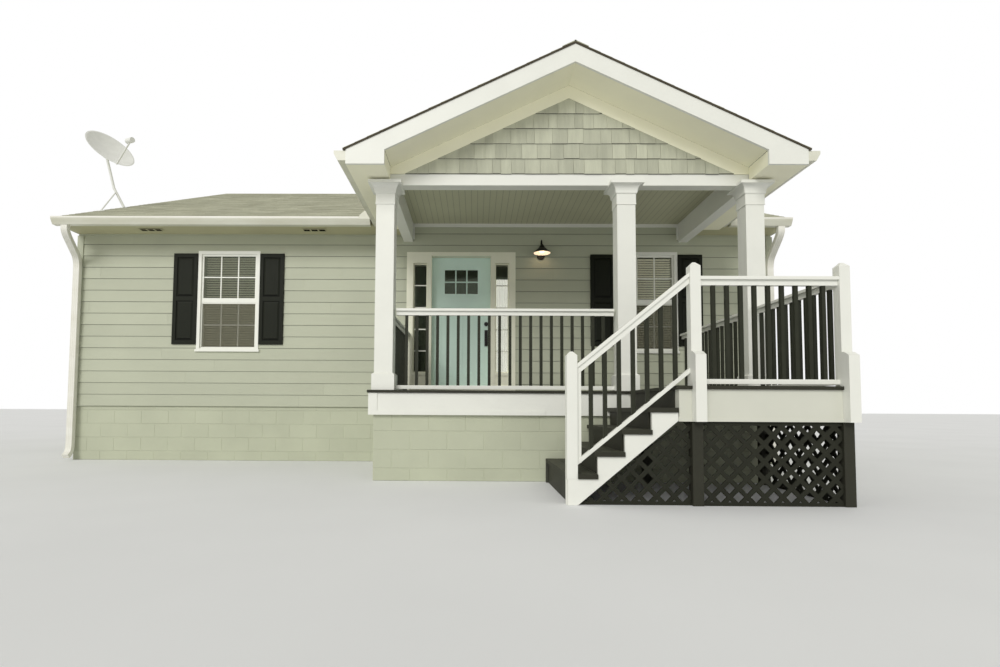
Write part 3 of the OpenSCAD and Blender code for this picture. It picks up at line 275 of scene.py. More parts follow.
class Finish:
    """A new material, whose nodes are on Object coordinates, in metres."""

    def __init__(self, name, rough, **fixed):
        FINISHES[name] = material = bpy.data.materials.new(name)
        material.use_nodes = True
        self.t = material.node_tree
        self.where = add(self.t, "TexCoord").outputs["Object"]
        for key, value in {"Roughness": rough, **fixed}.items():
            self.to(key, value)

    def to(self, key, value):
        """Gives an input of the surface."""
        give(self.t, self.t.nodes["Principled BSDF"].inputs[key], value)

    def noise(self, scale, detail=4.0, stretch=(1, 1, 1)):
        """Cloudy noise, scale counts to the metre, drawn out along an axis by stretch."""
        mapping = add(self.t, "Mapping", {"Scale": stretch, "Vector": self.where})
        given = {"Scale": scale, "Detail": detail, "Roughness": 0.55, "Vector": mapping.outputs[0]}
        return add(self.t, "TexNoise", given).outputs["Fac"]

    def ramp(self, value, stops):
        """Colours at places along 0 to 1."""
        r = add(self.t, "ValToRGB", {"Fac": value})
        while len(r.color_ramp.elements) < len(stops):
            r.color_ramp.elements.new(0.5)
        for e, (place, colour) in zip(r.color_ramp.elements, stops):
            e.position, e.color = place, colour
        return r.outputs["Color"]

    def between(self, value, dull, bright, low=0.3, high=0.7):
        """From a dull to a bright colour as a value goes from low to high."""
        return self.ramp(value, [(low, dull), (high, bright)])

    def mix(self, factor, a, b, blend="MIX"):
        """Two colours mixed by a factor; each may be a constant or a socket."""
        n = add(self.t, "Mix", data_type="RGBA", blend_type=blend)
        for key, kind, value in (("Factor", "VALUE", factor), ("A", "RGBA", a), ("B", "RGBA", b)):
            give(self.t, [s for s in n.inputs if s.name == key and s.type == kind][0], value)
        return [s for s in n.outputs if s.type == "RGBA"][0]

    def dimmed(self, colour, share):
        """A share of a colour's light."""
        return self.mix(1.0, colour, (share, share, share, 1.0), "MULTIPLY")

    def math(self, op, a, b=0.0):
        return add(self.t, "Math", {0: a, 1: b}, operation=op).outputs[0]

    def tone(self):
        """The number from 0 to 1 kept on each slab's faces, and 1 where it is a lower edge, which
        the paint darkens as painted shade.
        """
        kept = add(self.t, "Attribute", attribute_name="tone").outputs["Fac"]
        edge = self.math("GREATER_THAN", kept, UNDER_SHADE - 0.5)
        return self.math("SUBTRACT", kept, self.math("MULTIPLY", edge, UNDER_SHADE)), edge

    def along(self, axis):
        """The coordinate along an axis."""
        return add(self.t, "SeparateXYZ", {0: self.where}).outputs[axis]

    def grooves(self, axis, pitch, width, first):
        """1 in narrow lines across an axis, which start at first and are a pitch apart, else 0."""
        steps = self.math("DIVIDE", self.math("SUBTRACT", self.along(axis), first), pitch)
        return self.math("LESS_THAN", self.math("FRACT", steps), width / pitch)

    def beyond(self, axis, place):
        """1 where the coordinate along an axis is past a place, else 0."""
        return self.math("GREATER_THAN", self.along(axis), place)

    def rough(self, value, low, high):
        """Roughness from low to high as a value goes from 0 to 1."""
        n = add(self.t, "MapRange", {"To Min": low, "To Max": high, "Value": value})
        self.to("Roughness", n.outputs["Result"])

    def bump(self, value, depth):
        """Small relief of a depth in metres."""
        n = add(self.t, "Bump", {"Strength": 1.0, "Distance": depth, "Height": value})
        self.to("Normal", n.outputs["Normal"])


def painted(name, rgb, rough, spread, scale, grain=(60.0, (1, 1, 1)), depth=0.0004, dark=0.0,
            under=0.35, drawn=(1, 1, 1), gloss=0.5, lines=None, past=None):
    """Paint that varies by a spread in clouds, with a fine grain (scale, stretch) in its relief. A
    slab with a tone is up to a share dark darker, and its underside has a share under of the
    light, as painted shade. lines are (axis, pitch, width, first, shade) of dark lines, and past is
    (axis, place, colour) of a second colour, which alone has the lines if both are given."""
    f = Finish(name, rough, **{"Specular IOR Level": gloss})
    cloud = f.noise(scale, 5.0, drawn)

    def clouded(rgb):
        return f.between(cloud, lin(rgb, 1 - spread), lin(rgb, 1 + spread))

    c = clouded(rgb)
    if past:
        over = f.beyond(*past[:2])
        c = f.mix(over, c, clouded(past[2]))
    if lines:
        line = f.grooves(*lines[:4])
        if past:
            line = f.math("MULTIPLY", line, over)
        c = f.mix(line, c, f.dimmed(c, lines[4]))
    # own is each slab's random tone; edge marks its lower edge face, which gets painted shade
    if dark:
        own, edge = f.tone()
        c = f.mix(own, c, f.dimmed(c, 1 - dark))
        c = f.mix(edge, c, lin(rgb, under))
    f.to("Base Color", c)
    fine = f.noise(grain[0], 6.0, grain[1])
    f.rough(fine, max(0.05, rough - 0.08), min(1.0, rough + 0.1))
    f.bump(fine, depth)


def shingle_finish():
    """Asphalt tabs: a tone for each tab, mottled by coarse clouds and fine grains of stone, and
    painted shade on each tab's lower edge.
    """
    f = Finish("asphalt_shingle", 0.92)
    own, edge = f.tone()
    tab = f.ramp(own, [(0.0, lin((164, 164, 143))), (0.45, lin((188, 189, 167))),
                       (0.8, lin((200, 201, 178))), (1.0, lin((156, 156, 136)))])
    # painted shade on the lower edge face of each tab
    tab = f.mix(edge, tab, lin((124, 122, 104)))
    weather = f.between(f.noise(1.1), lin((170, 171, 150)), lin((196, 197, 174)))
    grains = f.noise(420.0, 2.0)
    speck = f.ramp(grains, [(0.36, (0.72, 0.71, 0.68, 1)), (0.48, (1, 1, 1, 1)),
                            (0.66, (1.0, 1.0, 0.98, 1))])
    f.to("Base Color", f.mix(1.0, f.mix(0.35, tab, weather), speck, "MULTIPLY"))
    f.bump(grains, 0.0018)


def metal_finish(name, dull, bright):
    """Enamelled sheet, a little dirty in clouds drawn out along it."""
    f = Finish(name, 0.35)
    cloud = f.noise(5.0, 6.0, (0.3, 1, 1))
    f.to("Base Color", f.between(cloud, lin(dull), lin(bright), 0.25, 0.6))
    f.rough(cloud, 0.28, 0.45)
    f.bump(f.noise(7.0, 2.0, (0.1, 1, 1)), 0.001)


def glass_finish(name, cover):
    """A thin pane: it covers a share of what is behind it, mirrors a little, and waves faintly."""
    f = Finish(name, 0.03, **{"IOR": 1.5, "Specular IOR Level": 1.0, "Alpha": cover,
                              "Specular Tint": (0.86, 1.0, 0.74, 1.0)})
    f.to("Base Color", f.between(f.noise(0.8, 2.0), lin((40, 46, 40)), lin((58, 66, 58))))
    f.bump(f.noise(2.2, 1.0), 0.0002)


def lit_finish(name, rough, base, strength, scale, dull, bright):
    """Glass or enamel that gives off warm light, a little uneven."""
    f = Finish(name, rough, **{"Base Color": lin(base), "Emission Strength": strength})
    f.to("Emission Color", f.between(f.noise(scale, 2.0), lin(dull), lin(bright)))


def lit_cloth_finish(name, strength, dull, bright, past=()):
    """Pale cloth or slats that glow with painted daylight, as if lit from the room behind them.
    The glow is halved, a painted shade, wherever a coordinate named in past, as (axis, place),
    isn't beyond its place."""
    f = Finish(name, 0.85, **{"Emission Strength": strength})
    shade = f.between(f.noise(5.0, stretch=(1, 1, 0.2)), lin(dull), lin(bright))
    f.to("Base Color", shade)
    if past:
        lit = f.math("MULTIPLY", *(f.beyond(*p) for p in past))
        shade = f.mix(lit, f.dimmed(shade, 0.5), shade)
    f.to("Emission Color", shade)
    f.bump(f.noise(240.0, 2.0, (1, 1, 0.3)), 0.0005)


def screen_finish():
    """Insect screen: a fine weave that is mostly open."""
    f = Finish("insect_screen", 0.8, Alpha=0.35)
    weave = f.noise(160.0, 1.0)
    f.to("Base Color", f.between(weave, lin((104, 102, 84)), lin((132, 130, 110)), 0.35, 0.65))


SIDING, WHITE = (187, 191, 170), (234, 235, 228)
UPRIGHT = (70.0, (1, 1, 0.1))     # grain drawn out along Z

# painted shade: a dark line on each board just under the next board's butt, and each butt face at
# 0.10 of the light
painted("siding_paint", SIDING, 0.55, 0.035, 1.2, (26.0, (0.12, 1, 1)), 0.0011, 0.06, 0.10,
        lines=(2, LAP, 0.007, LAP_FIRST - 0.007, 0.62))
painted("wall_paint", SIDING, 0.6, 0.04, 1.2)
painted("corner_paint", (180, 184, 163), 0.5, 0.03, 3.0)
# painted shade: each shingle's butt face at 0.06 of the light
painted("shake_paint", (196, 198, 178), 0.75, 0.10, 13.0, (45.0, (1, 1, 0.08)), 0.0026, 0.24, 0.06,
        (1, 1, 0.16))
# painted shade: the lower edge face of each block's face at 0.35 of the light
painted("block_paint", (190, 194, 172), 0.8, 0.05, 1.6, (90.0, (1, 1, 1)), 0.0018, 0.04)
painted("trim_paint", WHITE, 0.42, 0.02, 3.0)
painted("rim_paint", (211, 212, 200), 0.5, 0.03, 3.0)
painted("stringer_paint", WHITE, 0.45, 0.03, 3.0, past=(1, STAIR_MID, (58, 59, 49)))
# painted shade: the eave soffit's white darkened, with a yellow-green cast of bounced light
painted("soffit_paint", (190, 187, 152), 0.6, 0.04, 2.0)
# painted light: the white of the gable's soffit and trim, lightened past the trim's white
painted("gable_soffit_lightened", (250, 248, 224), 0.6, 0.03, 2.0)
painted("ceiling_paint", WHITE, 0.6, 0.03, 2.0, lines=(0, 0.0825, 0.006, 0.0, 0.62),
        past=(2, CEILING_TOP - 0.0155, (198, 198, 172)))
painted("dark_paint", (50, 50, 41), 0.6, 0.10, 3.0, (60.0, (0.15, 1, 1)), 0.0006, gloss=0.2)
painted("baluster_paint", (42, 44, 33), 0.5, 0.12, 9.0, gloss=0.2)
# painted shade: the near end face of each floor board at 0.35 of the light
painted("deck_paint", (76, 77, 64), 0.7, 0.12, 4.0, (40.0, (1, 0.1, 1)), 0.0008, 0.18, gloss=0.25)
painted("lattice_paint", (38, 39, 30), 0.7, 0.15, 5.0, gloss=0.2)
# painted shade: the lower edges of the raised fields, rails and stiles at 0.3 of the light
painted("shutter_paint", (25, 28, 18), 0.5, 0.06, 4.0, UPRIGHT, 0.0005, 0.01, 0.3, gloss=0.14)
# painted shade: a darker copy of the shutter paint for the grooves and edges round the panels
painted("shutter_shaded_groove", (18, 20, 13), 0.6, 0.08, 4.0, UPRIGHT, 0.0005, gloss=0.12)
# the door's pale green, lightened further as painted light
painted("door_paint", (220, 245, 234), 0.4, 0.03, 3.0)
painted("frame_paint", (240, 240, 220), 0.45, 0.03, 3.0)
painted("window_vinyl", (240, 241, 233), 0.35, 0.015, 3.0)
painted("roof_edge", (78, 72, 60), 0.9, 0.15, 14.0, gloss=0.2)
painted("inner_wood", (150, 116, 80), 0.5, 0.12, 3.0, (30.0, (1, 0.08, 1)), 0.0006)
painted("inner_paint", (120, 117, 106), 0.8, 0.03, 2.0)
painted("black_enamel", (22, 21, 19), 0.35, 0.1, 9.0, gloss=0.3)
painted("dark_bronze", (20, 19, 16), 0.4, 0.15, 20.0, gloss=0.25)
painted("vent_mesh", (30, 29, 20), 0.9, 0.25, 60.0, gloss=0.1)
painted("dish_paint", (236, 237, 232), 0.5, 0.04, 8.0)
shingle_finish()
metal_finish("gutter_enamel", (208, 207, 188), (222, 222, 208))
metal_finish("spout_enamel", (226, 224, 212), (238, 237, 229))
glass_finish("window_pane", 0.34)
glass_finish("door_pane", 0.45)
lit_finish("lit_bulb", 0.3, (255, 240, 214), 2.2, 14.0, (255, 226, 176), (255, 236, 205))
# the lining of the shade glows: painted light from the bulb
lit_finish("glowing_shade_lining", 0.4, (255, 236, 210), 0.75, 9.0, (255, 222, 186), (255, 232, 206))
screen_finish()
# painted light: the curtain glows as if lit from behind
lit_cloth_finish("glowing_curtain", 1.15, (226, 226, 216), (243, 243, 234))
# painted light: the slats glow, and the glow is halved as painted shade except high up right of X =
# 1.5
lit_cloth_finish("glowing_blinds", 0.32, (222, 220, 198), (234, 232, 212), ((0, 1.5), (2, 2.41)))

CAD_FINISHES = {
    "block_paint": "house_foundation porch_foundation", "inner_wood": "house_floor",
    "wall_paint": "front_wall_left front_wall_right front_wall_at_door left_wall right_wall "
                  "back_wall",
    "corner_paint": "corner_boards frieze_boards", "inner_paint": "house_ceiling",
    "asphalt_shingle": "main_roof_front main_roof_back", "roof_edge": "porch_roof",
    "soffit_paint": "eaves", "gutter_enamel": "gutters downspouts",
    "trim_paint": "porch_band porch_columns porch_beams rake_boards deck_posts newel_post "
                  "bay_railing side_railing deck_railing deck_side_railing stair_railing",
    "ceiling_paint": "porch_ceiling", "shake_paint": "gable_wall",
    "gable_soffit_lightened": "gable_trim porch_eaves", "rim_paint": "deck_rim",
    "dark_paint": "porch_floor deck_floor deck_supports stair_treads stair_risers",
    "stringer_paint": "stair_stringers", "window_vinyl": "window_frames",
    "lattice_paint": "deck_lattice side_lattice stair_lattice", "window_pane": "window_glass",
    "door_pane": "door_glass", "shutter_shaded_groove": "shutters", "frame_paint": "door_frame",
    "door_paint": "front_door", "dark_bronze": "door_handle door_hinges",
    "black_enamel": "porch_light", "lit_bulb": "light_bulb", "dish_paint": "roof_dish",
}
for finish, nodes in CAD_FINISHES.items():
    for node in nodes.split():
        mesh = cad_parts[node].data
        if not mesh.materials:
            mesh.materials.append(FINISHES[finish])
        for i in range(len(mesh.materials)):
            mesh.materials[i] = FINISHES[finish]


# ---- siding
def lap_courses(plane, low, high, limits, holes, seed):
    """Boards laid one over the next: board k covers v from LAP_FIRST + k * LAP to the next, and its
    face leans from butt at its foot to head at its top. limits(v) gives its left and right ends,
    holes are (u0, u1, v0, v1), and boards end at joints, shifted at random from row to row."""
    length, butt, head = 3.66, 0.011, 0.002
    half_joint, from_end, shortest, lowest = 0.0008, 0.15, 0.004, 1e-4
    rng = np.random.default_rng(seed)
    rows = []
    first = math.floor((low - LAP_FIRST) / LAP + 1e-6)
    last = math.ceil((high - LAP_FIRST) / LAP)
    for k in range(first, last):
        foot = LAP_FIRST + k * LAP
        start, end = max(foot, low), min(foot + LAP, high)
        levels = sorted({start, end} | {v for h in holes for v in h[2:] if start < v < end})
        joints = rng.uniform(0, length) + length * np.arange(-6, 7)
        for a, b in zip(levels[:-1], levels[1:]):
            if b - a < lowest:
                continue
            (l0, r0), (l1, r1) = limits(a), limits(b)
            here = sorted(h[:2] for h in holes if h[2] < (a + b) / 2 < h[3])
            ends = [(l0, l1)] + [(x, x) for h in here for x in h] + [(r0, r1)]
            for (s0, s1), (e0, e1) in zip(ends[::2], ends[1::2]):
                inner = [j for j in joints if max(s0, s1) + from_end < j < min(e0, e1) - from_end]
                cuts = [(j + g, j + g) for j in inner for g in (-half_joint, half_joint)]
                cuts = [(s0, s1)] + cuts + [(e0, e1)]
                for (p0, p1), (q0, q1) in zip(cuts[::2], cuts[1::2]):
                    if max(q0 - p0, q1 - p1) > shortest:
                        rows.append([p0, max(p0, q0), max(p1, q1), p1, a, a, b, b, foot])
    rows = np.array(rows)
    u, v, foot = rows[:, :4], rows[:, 4:8], rows[:, 8:]
    lift = butt + (head - butt) * (v - foot) / LAP
    return slabs(plane, u, v, lift), rng.uniform(0, 1, len(rows))


def build_siding():
    """Lapped boards on the four walls, cut round windows and the entrance, under the trim."""
    in_frame = 0.01     # how far the boards run behind the door's frame
    entry = (ENTRY_LO[0] + in_frame, ENTRY_HI[0] - in_frame, 0.0, ENTRY_HI[2] - in_frame)
    top, peak, ceiling = EAVE_UNDER + 0.010 - 0.003, RIDGE_Z - 0.125, CEILING_TOP - 0.015

    def hole(mid):
        return mid - HOLE_HALF, mid + HOLE_HALF, *HOLE_Z

    def straight(a, b):
        return lambda v: (a, b)

    def under_rakes(sign):
        def limits(v):
            half = min((BACK_Y - FRONT_Y) / 2, max(0.0, (peak - v) / ROOF_SLOPE))
            return sign * RIDGE_Y - half, sign * RIDGE_Y + half
        return limits

    (near, far), *holes = [[hole(mid) for mid in mids] for _, mids in WINDOWS]
    runs = [(front, SIDING_Z, top, straight(LEFT_X, BEAM_LO[0]), [near]),
            (front, FLOOR_HI[2] - 0.1, ceiling, straight(BEAM_LO[0], BEAM_HI[0]), [entry, far]),
            (front, SIDING_Z, top, straight(BEAM_HI[0], RIGHT_X), []),
            (back, SIDING_Z, top, straight(-RIGHT_X, -LEFT_X), holes[0]),
            (left, SIDING_Z, peak - 0.02, under_rakes(-1), holes[1]),
            (right, SIDING_Z, peak - 0.02, under_rakes(1), holes[2])]
    toned("lap_siding", [lap_courses(*run, 11 + i) for i, run in enumerate(runs)],
          "siding_paint")


# ---- shingles of the roofs and the gable
def tab_field(plane, v0, v1, limits, seed):
    """Rows of tabs: row i starts at v0 + i * TAB_LAP, and its tabs are shifted by half a tab on
    every second row and a little at random. Each is cut to limits(v) at its foot and its head, and
    its face leans from a random butt at the foot to nearly nothing at the head."""
    width, gap, overlap, butt, head = 0.305, 0.005, 0.02, (0.0035, 0.006), 0.0012
    rng = np.random.default_rng(seed)
    n = math.ceil((v1 - v0) / TAB_LAP)
    va = v0 + TAB_LAP * np.arange(n)
    vb = np.minimum(va + TAB_LAP + overlap, v1)
    (la, ra), (lb, rb) = (np.array([limits(v) for v in row]).T for row in (va, vb))
    lo, hi = min(la.min(), lb.min()), max(ra.max(), rb.max())
    count = math.ceil((hi - lo) / width) + 2
    start = lo - width + (np.arange(n) % 2)[:, None] * width / 2
    start = start + rng.uniform(-0.12, 0.12, (n, 1)) * width
    edge = start + width * np.arange(count + 1)[None]
    edge = edge + rng.uniform(-0.06, 0.06, (n, count + 1)) * width
    u0, u1 = edge[:, :-1] + gap / 2, edge[:, 1:] - gap / 2
    corners = ((u0, la, ra), (u1, la, ra), (u1, lb, rb), (u0, lb, rb))
    u = np.stack([np.clip(x, a[:, None], b[:, None]) for x, a, b in corners], -1)
    v = np.broadcast_to(np.stack([va, va, vb, vb], -1)[:, None], u.shape)
    keep = (u[..., 1] - u[..., 0] > 0.006) | (u[..., 2] - u[..., 3] > 0.006)
    u, v = u[keep], v[keep]
    foot = rng.uniform(*butt, len(u))[:, None]
    lift = np.where(np.array([1, 1, 0, 0]) == 1, foot, head)
    return slabs(plane, u, v, lift, sink=0.001), rng.uniform(0, 1, len(u))


def ridge_caps(a, b, downs, seed, top, lifts):
    """Cap shingles along a ridge from a to b: each is two leaning slabs, one on each slope, whose
    foot end lies on the cap before it. They reach from wing down the slope to top above the ridge,
    and their faces lean from one lift to the other."""
    wing, overlap = 0.15, 0.02
    a, b = np.array(a, float), np.array(b, float)
    length = np.linalg.norm(b - a)
    n = int(length / TAB_LAP)
    s0 = np.arange(n) * length / n
    s1 = s0 + length / n + overlap
    s1[-1] = length
    shade = np.random.default_rng(seed).uniform(0, 1, n)
    made = []
    for down in downs:
        up, along = -np.array(down, float), (b - a) / length
        flip = np.cross(along, up)[2] <= 0      # so that out points up
        plane = Plane(b, -along, up) if flip else Plane(a, along, up)
        u, v = rects(length - s1, length - s0, -wing, top) if flip else rects(s0, s1, -wing, top)
        lift = np.where(np.array([0, 1, 1, 0] if flip else [1, 0, 0, 1]) == 1, lifts[1], lifts[0])
        made.append((slabs(plane, u, v, lift, sink=0.0), shade))
    return made


def build_roofs():
    """Tabs on the main and the porch slopes, with cap shingles on both ridges. The front slope is
    three fields, because the porch roof covers its middle up to the porch's ridge. A porch slope
    ends where it meets the front one, at Y = valley(z)."""
    lo, hi = corner("main_roof_front")
    plo, phi = corner("porch_roof")
    peak, eave_y = phi[2], lo[1]
    eave_z = RIDGE_Z - abs(eave_y - RIDGE_Y) * ROOF_SLOPE
    run = math.hypot(1, ROOF_SLOPE)
    end = (RIDGE_Y - eave_y) * run - 0.14      # under the caps
    meet = TAB_LAP * math.ceil((peak - eave_z) * run / ROOF_SLOPE / TAB_LAP)
    fore = Plane((0, eave_y, eave_z), (1, 0, 0), (0, 1, ROOF_SLOPE))
    rear = Plane((0, 2 * RIDGE_Y - eave_y, eave_z), (-1, 0, 0), (0, -1, ROOF_SLOPE))

    def clear(v):
        return max(0.0, (peak - (eave_z + v * ROOF_SLOPE / run)) / GABLE_SLOPE + 0.01)

    def right_part(v):
        return PORCH_X + clear(v), max(hi[0], PORCH_X + clear(v))

    def valley(z):
        return RIDGE_Y - (RIDGE_Z - z) / ROOF_SLOPE

    made = [tab_field(fore, 0.0, meet, lambda v: (lo[0], PORCH_X - clear(v)), 31),
            tab_field(fore, 0.0, meet, right_part, 37),
            tab_field(fore, meet, end, lambda v: (lo[0], hi[0]), 38),
            tab_field(rear, 0.0, end, lambda v: (-hi[0], -lo[0]), 32)]
    half, porch_run = (phi[0] - plo[0]) / 2, math.hypot(1, GABLE_SLOPE)
    foot_z = peak - half * GABLE_SLOPE
    for sign, seed in ((-1, 33), (1, 34)):
        # across is -Y on the left slope and Y on the right one, so that out points up
        slope = Plane((PORCH_X + sign * half, 0, foot_z), (0, sign, 0), (-sign, 0, GABLE_SLOPE))

        def limits(v, sign=sign):
            y1 = valley(foot_z + v * GABLE_SLOPE / porch_run) - 0.01
            y0, y1 = plo[1], max(plo[1] + 0.05, y1, eave_y - 0.002)
            return (y0, y1) if sign > 0 else (-y1, -y0)
        made.append(tab_field(slope, 0.0, half * porch_run, limits, seed))
    made += ridge_caps((lo[0], RIDGE_Y, RIDGE_Z), (hi[0], RIDGE_Y, RIDGE_Z),
                       ((0, -1, -ROOF_SLOPE), (0, 1, -ROOF_SLOPE)), 35, -0.009, (0.0025, 0.004))
    made += ridge_caps((PORCH_X, plo[1], peak), (PORCH_X, valley(peak), peak),
                       ((-1, 0, -GABLE_SLOPE), (1, 0, -GABLE_SLOPE)), 36, 0.012, (0.008, 0.012))
    toned("roof_shingles", made, "asphalt_shingle")


def build_gable_shakes():
    """Shingles of many widths in the gable, in rows SHAKE_LAP high. A head lies at
    min(head of the row, apex - |u| * slope), so a shingle is up to three slabs that meet where the
    slope leaves the row's head. Its face leans from foot at the butt to head at the row's head."""
    first, widths, joint, head = 3.442 - SHAKE_LAP, (0.095, 0.12, 0.15, 0.175, 0.2), 0.0015, 0.004
    peak, inside, narrowest, thinnest = GABLE_HI[2], 0.004, 0.003, 0.0015
    plane = Plane((PORCH_X, GABLE_LO[1], 0), (1, 0, 0))
    rng = np.random.default_rng(41)
    rows, tones = [], []
    for k in range(7):
        va = max(first + k * SHAKE_LAP, GABLE_LO[2] + 0.002)
        vb = min(first + (k + 1) * SHAKE_LAP + 0.004, peak)
        if vb - va < 0.02:
            continue
        ha, hb = ((peak - z) / GABLE_SLOPE for z in (va, vb))
        edge = np.cumsum(rng.choice(widths, 60)) - rng.uniform(3.2, 3.5)
        u0, u1 = edge[:-1] + joint, edge[1:] - joint
        cuts = np.stack([u0, np.clip(-hb, u0, u1), np.clip(hb, u0, u1), u1], -1)
        cuts = np.clip(cuts, inside - ha, ha - inside)
        a, b = cuts[:, :-1], cuts[:, 1:]
        jog, foot, tone = (np.repeat(rng.uniform(*r, (len(u0), 1)), 3, 1)
                           for r in ((-0.003, 0.003), (0.012, 0.018), (0, 1)))
        low = va + jog
        tops = [np.minimum(vb, peak + 0.0005 - np.abs(u) * GABLE_SLOPE) for u in (a, b)]
        tops = [np.maximum(low + thinnest, t) for t in tops]
        u, v = np.stack([a, b, b, a], -1), np.stack([low, low, tops[1], tops[0]], -1)
        low, foot = low[..., None], foot[..., None]
        lift = foot + (head - foot) * (v - low) / (vb - low)
        keep = (b - a > narrowest) & (np.maximum(*tops) - low[..., 0] > 0.004)
        rows.append(np.stack([u[keep], v[keep], lift[keep]]))
        tones.append(tone[keep])
    made = slabs(plane, *np.concatenate(rows, 1)), np.concatenate(tones)
    toned("gable_shingles", [made], "shake_paint")


# ---- block walls
def block_courses(plane, u0, u1, top, seed):
    """Blocks in running bond: rows end at first + k * BLOCK_H, every second row starts half a block
    on, and each block's face stands out between sunk joints."""
    first, half_joint = 0.132, 0.002
    rng = np.random.default_rng(seed)
    rows = []
    levels = [0.0] + [first + k * BLOCK_H for k in range(6)]
    for k, (a, b) in enumerate(zip(levels[:-1], levels[1:])):
        b = min(b, top)
        if b - a < 0.03:
            break
        edge = np.arange(u0 - (k % 2) * BLOCK_L / 2, u1 + BLOCK_L, BLOCK_L)
        e0, e1 = np.clip(edge[:-1] + half_joint, u0, u1), np.clip(edge[1:] - half_joint, u0, u1)
        keep = e1 - e0 > 0.02
        rows.append(rects(e0[keep], e1[keep], a + 2 * half_joint * (k > 0), b - 2 * half_joint))
    u, v = (np.concatenate(r) for r in zip(*rows))
    lift = rng.uniform(0.002, 0.0035, len(u))[:, None]
    return slabs(plane, u, v, lift, inset=0.003), rng.uniform(0, 1, len(u))


def build_blocks():
    """Block faces on every outer side of both foundations."""
    lo, hi = corner("house_foundation")
    plo, phi = corner("porch_foundation")
    top, porch_top = hi[2] - 0.004, phi[2] - 0.002
    fields = [("front", lo[1], lo[0], plo[0], top), ("front", lo[1], phi[0], hi[0], top),
              ("back", hi[1], -hi[0], -lo[0], top), ("left", lo[0], -hi[1], -lo[1], top),
              ("right", hi[0], lo[1], hi[1], top), ("front", plo[1], plo[0], phi[0], porch_top),
              ("left", plo[0], -phi[1], -plo[1], porch_top),
              ("right", phi[0], plo[1], phi[1], porch_top)]
    made = [block_courses(facing(side, place), *field, 51 + i)
            for i, (side, place, *field) in enumerate(fields)]
    toned("foundation_blocks", made, "block_paint")


# ---- window bars, blinds and screens
def bars_over(plane, mid, half, z0, z1, lift):
    """Two upright bars and a level one, which split a pane three by two."""
    x, z = mid + np.array([-1, 1]) * half / 3, (z0 + z1) / 2
    return [plates(plane, x - BAR_HALF, x + BAR_HALF, z0, z1, lift, 0.002),
            plates(plane, mid - half, mid + half, z - BAR_HALF, z + BAR_HALF, lift + 0.0004, 0.002)]


def build_window_details():
    """Bars on each sash, level slats behind the glass, and a framed screen before each lower sash.
    A slat is a thin sheet whose outer edge hangs lower than its inner one: its top at depth d
    stands (d - middle) * lean above its middle line."""
    count, half_slat, lean, thick, slat_depth = 38, 0.025, -0.22, 0.003, 0.112
    rise, reach = half_slat * lean, SASH_HALF + 0.01
    tilt = half_slat * np.array([1, 1, -1, -1])
    levels = LOWER[0] + 0.012 + (UPPER[1] - LOWER[0] - 0.02) * np.arange(count) / (count - 1)
    z0, z1 = LOWER[0] - SASH + 0.001, LOWER[1] - 0.002      # ends of a screen's frame
    bars, slats, screens, rims = [], [], [], []
    for plane, mid in [(plane, mid) for plane, mids in WINDOWS for mid in mids]:
        for sash, depth in ((LOWER, LOWER_PANE), (UPPER, UPPER_PANE)):
            bars += bars_over(plane.back(depth + 0.0005), mid, SASH_HALF, *sash, 0.006)
        u, v = rects(mid - reach, mid + reach, levels - rise, levels + rise)
        slats.append(slabs(plane.back(slat_depth), u, v, tilt, sink=0.0))
        sheet = slats[-1][0].reshape(count, 8, 3)
        sheet[:, :4] = sheet[:, 4:] - thick * plane.v
        x0, x1 = mid - SASH_HALF - SASH + 0.001, mid + SASH_HALF + SASH - 0.001
        screens.append(plates(plane.back(0.010), x0 + 0.01, x1 - 0.01, z0 + 0.01, z1 - 0.008,
                              0.0004, sink=0.0004))
        rims.append(plates(plane.back(0.013), [x0, x1 - 0.02, x0, x0], [x0 + 0.02, x1, x1, x1],
                           [z0 + 0.0245, z0 + 0.0245, z0, z1 - 0.014],
                           [z1 - 0.0145, z1 - 0.0145, z0 + 0.024, z1], 0.006, 0.001))
    piece("window_bars", bars, "window_vinyl")
    piece("screen_frames", rims, "window_vinyl")
    piece("window_blinds", slats, "glowing_blinds")
    piece("window_screens", screens, "insect_screen")


# ---- entrance
def build_entrance():
    """Bars over the glass of the leaf and of the side lights, and a curtain behind the right one,
    folded as a wave: depth = middle + amplitude * sin(turns * 2 pi * place across). The curtain
    glows with painted light; its paleness also stands in for the sky mirrored on that pane, a
    painted reflection."""
    margin, half_pane = 0.008, 0.09
    half = (PANE_HI[0] - PANE_LO[0]) / 2 - margin
    near = front.back(PANE_LO[1] - FRONT_Y + 0.0005)
    piece("door_light_bars",
          bars_over(near, DOOR_MID, half, PANE_LO[2] + margin, PANE_HI[2] - margin, 0.007),
          "door_paint", body="door_leaf")
    levels = np.array([1.659, 1.987, 2.319, 2.657])
    mids = [DOOR_MID - SIDE_LIGHT, DOOR_MID + SIDE_LIGHT]
    bars = [plates(front.back(0.0605), mid - half_pane, mid + half_pane, levels - BAR_HALF,
                   levels + BAR_HALF, 0.007, 0.002) for mid in mids]
    piece("side_light_bars", bars, "window_vinyl")
    half_cloth, middle, amplitude, turns, thick, high = 0.098, 0.088, 0.007, 5, 0.002, 1.44
    place = np.linspace(0, 1, 41)
    depth = middle + amplitude * np.sin(turns * 2 * np.pi * place)
    path = np.stack([mids[1] - half_cloth + 2 * half_cloth * place, FRONT_Y + depth,
                     np.full(len(place), 1.32)], -1)
    cloth = carried([(0, 0), (thick, 0), (thick, high), (0, high)], path, (0, 1, 0))
    piece("side_light_curtain", [cloth], "glowing_curtain")


